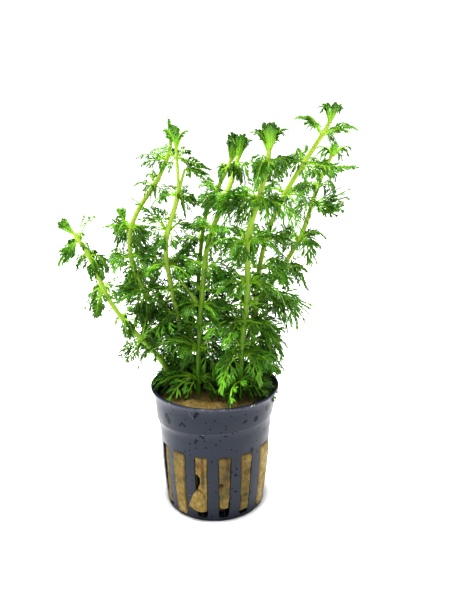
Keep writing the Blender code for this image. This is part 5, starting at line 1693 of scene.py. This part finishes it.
def slot_fill(height, slot, across):
    """Return how far the wool comes forward into a slot: 1 in the slot, 0 behind a bar or the wall."""
    half = slot_half(height)
    wave = noise.noise(Vector((slot * 7.0, height * LUMPS, 0.0)))
    left = half * (FILL_WIDTH + SLOT_WOOL[slot].left * (1.0 + 0.8 * wave))
    right = half * (FILL_WIDTH + SLOT_WOOL[slot].right * (1.0 + 0.8 * wave))
    inside = min((across + left) / FILL_EDGE, (right - across) / FILL_EDGE,
                 (FILL_TOP - height) / FILL_TOP_EDGE)
    return min(max(inside, 0.0), 1.0)


def wool_point(angle, radius, height):
    """Return a point of the wool block and its tone."""
    slot, across = slot_of(angle)
    wool = SLOT_WOOL[slot]
    place = Vector((radius * math.sin(angle), -radius * math.cos(angle), height))
    lumps = noise.fractal(place * LUMPS, 1.0, 2.0, 4)
    fine = noise.fractal(place * GRAIN, 0.8, 2.0, 3)
    tone = wool.tone + 0.22 * lumps
    if height > SLOT_TOP:
        # Painted shade on the wool's top: darker towards the back and the middle, where the rim and the
        # leaves shade it.
        behind = 0.5 + 0.5 * place.y / radius if radius > MM else 0.5
        tone = 0.56 - 0.42 * behind - 0.25 * max(0.0, 1 - radius / (18 * MM)) + 0.15 * lumps
    for patch in PATCHES:
        away = away_from(patch, angle, height, radius)
        tone += (patch.tone - tone) * math.exp(-away ** 4)
    if height >= WOOL_TOP - 0.3 * MM:
        return (place.x, place.y, place.z + (0.9 * lumps + 0.35 * fine) * MM), tone
    out = 0.16 * fine * MM
    if SLOT_BOTTOM < height:
        fill = slot_fill(height, slot, across)
        out += fill * (outer_radius(height) - radius + (wool.proud + 0.12 * lumps) * MM)
    if height < SLOT_TOP:
        end = (wool.end + 0.8 * noise.noise(Vector((angle * 9.0, 0.0, 0.0)))) * MM
        below = min(max((end - height) / UNDER_BLUR, 0.0), 1.0)
        out -= UNDER_DEPTH * below
    for hollow in HOLLOWS:
        away = away_from(hollow, angle, height, radius)
        out -= hollow.depth * MM * math.exp(-away ** 6)
    factor = 1.0 + out / max(radius, MM)
    return (place.x * factor, place.y * factor, place.z), tone


def block_mesh():
    """Return the points, tones and faces of the wool block."""
    points = []
    tones = []
    for row in range(WOOL_ROWS):
        radius, height = wool_surface((row + 0.5) / WOOL_ROWS)
        for k in range(WOOL_TURNS):
            point, tone = wool_point(math.tau * k / WOOL_TURNS, radius, height)
            points.append(point)
            tones.append(tone)
    return points, tones, tube_faces(0, WOOL_ROWS, WOOL_TURNS)


# %% Measures of the flap and the fibres
FLAP_OUTLINE = ((-13.0, 13.6), (-19.0, 14.6), (-23.5, 11.8), (-26.2, 8.9), (-29.3, 6.6), (-27.0, 5.9),
                (-22.0, 5.0), (-17.0, 4.3), (-12.0, 4.6), (-9.5, 7.0), (-9.5, 11.0))
FLAP_RINGS = ((0.96, -0.1), (1.0, 0.45), (0.86, 0.9), (0.55, 1.0), (0.2, 0.9))
FLAP_PARTS = 5
FIBRE_TONE = 0.95
FIBRE_RADIUS = 0.055 * MM
FIBRE_SIDES = 3
FIBRE_STEPS = 6
FIBRE_HEIGHTS = (3.0, 27.5)
FLAP_LUMPS = 900.0

Fuzz = namedtuple("Fuzz", "turn height spread_turn spread_height count length")
FUZZ = (
    Fuzz(72.0, 23.5, 6.0, 5.0, 60, 2.4), Fuzz(63.0, 14.0, 7.0, 9.0, 40, 1.2),
    Fuzz(-48.0, 17.0, 1.0, 7.0, 14, 1.5), Fuzz(-38.0, 14.0, 6.0, 12.0, 50, 1.1),
    Fuzz(-25.0, 9.5, 3.0, 3.0, 12, 1.3), Fuzz(-14.0, 14.0, 5.5, 10.0, 40, 1.0),
    Fuzz(10.0, 16.0, 5.0, 11.0, 36, 0.9), Fuzz(34.0, 15.0, 5.0, 12.0, 30, 0.9),
    Fuzz(-60.0, 14.0, 4.0, 12.0, 20, 1.1), Fuzz(110.0, 15.0, 30.0, 12.0, 40, 1.0),
    Fuzz(180.0, 15.0, 40.0, 12.0, 50, 1.0), Fuzz(-110.0, 15.0, 30.0, 12.0, 40, 1.0),
)


# %% Shape the flap and the fibres
def flap_mesh(first):
    """Return the points, tones and faces of the flap that lies over the bar, numbered from first."""
    outline = []
    for k, start in enumerate(FLAP_OUTLINE):
        end = FLAP_OUTLINE[(k + 1) % len(FLAP_OUTLINE)]
        for part in range(FLAP_PARTS):
            share = part / FLAP_PARTS
            outline.append((start[0] + (end[0] - start[0]) * share, start[1] + (end[1] - start[1]) * share))
    middle = np.mean(outline, axis=0)
    points = []
    tones = []
    for scale, proud in FLAP_RINGS:
        for k, (turn, height) in enumerate(outline):
            ragged = 1.0 + 0.16 * noise.noise(Vector((k * 1.7, 3.0, 0.0))) * scale
            turn = middle[0] + (turn - middle[0]) * scale * ragged
            height = middle[1] + (height - middle[1]) * scale * ragged
            place = on_pot(turn, height, proud + 0.15)
            lump = noise.fractal(place * FLAP_LUMPS, 1.0, 2.0, 3) * 0.22 * MM * (proud > 0.3)
            points.append(tuple(place + Vector((place.x, place.y, 0.0)).normalized() * lump))
            tones.append(0.66 + 0.2 * noise.noise(place * FLAP_LUMPS))
    faces = [face[::-1] for face in tube_faces(first, len(FLAP_RINGS), len(outline))]
    return points, tones, faces


def fibre_mesh(first, luck):
    """Return the points, tones and faces of the loose fibres, numbered from first."""
    points = []
    faces = []
    for fuzz in FUZZ:
        for _ in range(fuzz.count):
            turn = luck.gauss(fuzz.turn, fuzz.spread_turn / 2)
            height = float(np.clip(luck.gauss(fuzz.height, fuzz.spread_height / 2), *FIBRE_HEIGHTS))
            foot = on_pot(turn, height, -0.2)
            away = Vector((foot.x, foot.y, 0.0)).normalized()
            side = Vector((-away.y, away.x, 0.0)) * luck.uniform(-1.2, 1.2)
            heading = away * luck.uniform(0.3, 0.9) + side + Vector((0.0, 0.0, luck.uniform(-1.0, 1.0)))
            heading.normalize()
            bend = Vector([luck.uniform(-0.5, 0.5) for _ in range(3)])
            length = fuzz.length * MM * luck.uniform(0.5, 1.2)
            for step in range(FIBRE_STEPS):
                share = step / (FIBRE_STEPS - 1)
                centre = foot + heading * length * share + bend * length * share ** 2
                thick = FIBRE_RADIUS * (1.15 - share)
                for k in range(FIBRE_SIDES):
                    angle = math.tau * k / FIBRE_SIDES
                    points.append(tuple(centre + Vector((math.cos(angle), 0.0, math.sin(angle))) * thick))
            low = first + len(points) - FIBRE_STEPS * FIBRE_SIDES
            faces += tube_faces(low, FIBRE_STEPS, FIBRE_SIDES)
    return points, [FIBRE_TONE] * len(points), faces


# %% Build the wool
def build_wool():
    """Build the wool block with its flap and loose fibres as one piece."""
    block = block_mesh()
    flap = flap_mesh(len(block[0]))
    fibres = fibre_mesh(len(block[0]) + len(flap[0]), random.Random(64))
    points, tones, faces = (block[k] + flap[k] + fibres[k] for k in range(3))
    return make_piece("wool_block", points, faces, wool_material, ["rock_wool"], {"tone": tones})


wool = build_wool()
print("faces in the wool:", len(wool.data.polygons))

# %% [markdown]
# ## Floor and light
# The photograph is a studio picture on a white table that fades into a white background. The table
# here glows softly, like a light table, so it stays white up to a thin ring round the pot's foot,
# where the seen glow fades out: the shade in that ring is partly cast by the lights and partly painted.
# It lights the plant from below only far from the pot. A large soft light above gives the plant
# bright upper sides and dark depths.

# %% Floor
FLOOR_HALF = 3.0
# The seen glow fades in between these radii round the pot's foot, which paints a thin ring of shade.
SEEN_GLOW_AND_PAINTED_SHADE = (0.0197, 0.0268)
LIGHT_GLOW = (0.08, 1.0)
GLOW = 0.9
FLOOR_WHITE = (0.9, 0.9, 0.9)
FLOOR_CLOUD = (0.895, 0.895, 0.9)
BLACK = (0.0, 0.0, 0.0)
WHITE = (1.0, 1.0, 1.0)


def make_floor_material():
    """Make the white table: its glow is seen close to the pot, save a painted shade ring, but lights the
    plant from afar only.
    """
    material, tree, shader = new_material("studio_white", 0.9)
    cloud = use_group(tree, MOTTLE, Scale=3.0, Contrast=0.4)
    tree.links.new(mix_colours(tree, cloud, FLOOR_WHITE, FLOOR_CLOUD), shader.inputs["Base Color"])
    coordinates = tree.nodes.new("ShaderNodeTexCoord")
    from_pot = length_of(tree, coordinates.outputs["Object"])
    shown = mix_colours(tree, ramp(tree, from_pot, *SEEN_GLOW_AND_PAINTED_SHADE), BLACK, WHITE)
    light = mix_colours(tree, ramp(tree, from_pot, *LIGHT_GLOW), BLACK, WHITE)
    path = tree.nodes.new("ShaderNodeLightPath")
    glow = mix_colours(tree, path.outputs["Is Diffuse Ray"], shown, light)
    tree.links.new(glow, shader.inputs["Emission Color"])
    shader.inputs["Emission Strength"].default_value = GLOW
    return material


floor_mesh = bpy.data.meshes.new("studio_floor")
floor_mesh.from_pydata([(-FLOOR_HALF, -FLOOR_HALF, 0), (FLOOR_HALF, -FLOOR_HALF, 0),
                        (FLOOR_HALF, FLOOR_HALF, 0), (-FLOOR_HALF, FLOOR_HALF, 0)], [], [(0, 1, 2, 3)])
floor_mesh.materials.append(make_floor_material())
floor = bpy.data.objects.new("studio_floor", floor_mesh)
bpy.context.scene.collection.objects.link(floor)
print("floor across in m:", 2 * FLOOR_HALF)


# %% Lights
PLANT_MIDDLE = (0.0, 0.0, 0.08)
LIGHTS = {"top_softbox": ((-0.05, 0.0, 0.9), 0.45, 10.0), "left_softbox": ((-0.7, 0.05, 0.35), 0.35, 1.6),
          "right_softbox": ((0.5, 0.5, 0.3), 0.4, 1.6), "front_fill": ((0.15, -0.8, 0.5), 0.3, 1.2),
          "small_key": ((-0.25, -0.45, 0.75), 0.12, 0.5)}
SKY_LIGHT = 0.16


def area_light(name, place, size, watts):
    """Add a square soft light that faces the middle of the plant."""
    data = bpy.data.lights.new(name, 'AREA')
    data.size = size
    data.energy = watts
    light = bpy.data.objects.new(name, data)
    light.location = place
    light.rotation_euler = (Vector(PLANT_MIDDLE) - Vector(place)).to_track_quat('-Z', 'Y').to_euler()
    bpy.context.scene.collection.objects.link(light)


def make_world():
    """Make the surroundings: white where the camera looks past the table, dimmer as a light."""
    world = bpy.data.worlds.new("studio_world")
    world.use_nodes = True
    tree = world.node_tree
    background = tree.nodes["Background"]
    background.inputs["Color"].default_value = (1.0, 1.0, 1.0, 1.0)
    path = tree.nodes.new("ShaderNodeLightPath")
    strength = tree.nodes.new("ShaderNodeMapRange")
    strength.inputs["To Min"].default_value = SKY_LIGHT
    strength.inputs["To Max"].default_value = 1.0
    tree.links.new(path.outputs["Is Camera Ray"], strength.inputs["Value"])
    tree.links.new(strength.outputs["Result"], background.inputs["Strength"])
    return world


for light_name, light_values in LIGHTS.items():
    area_light(light_name, *light_values)
bpy.context.scene.world = make_world()
view = bpy.context.scene.view_settings
view.view_transform = 'Standard'
view.look = 'None'
view.exposure = 0.5
view.gamma = 0.78
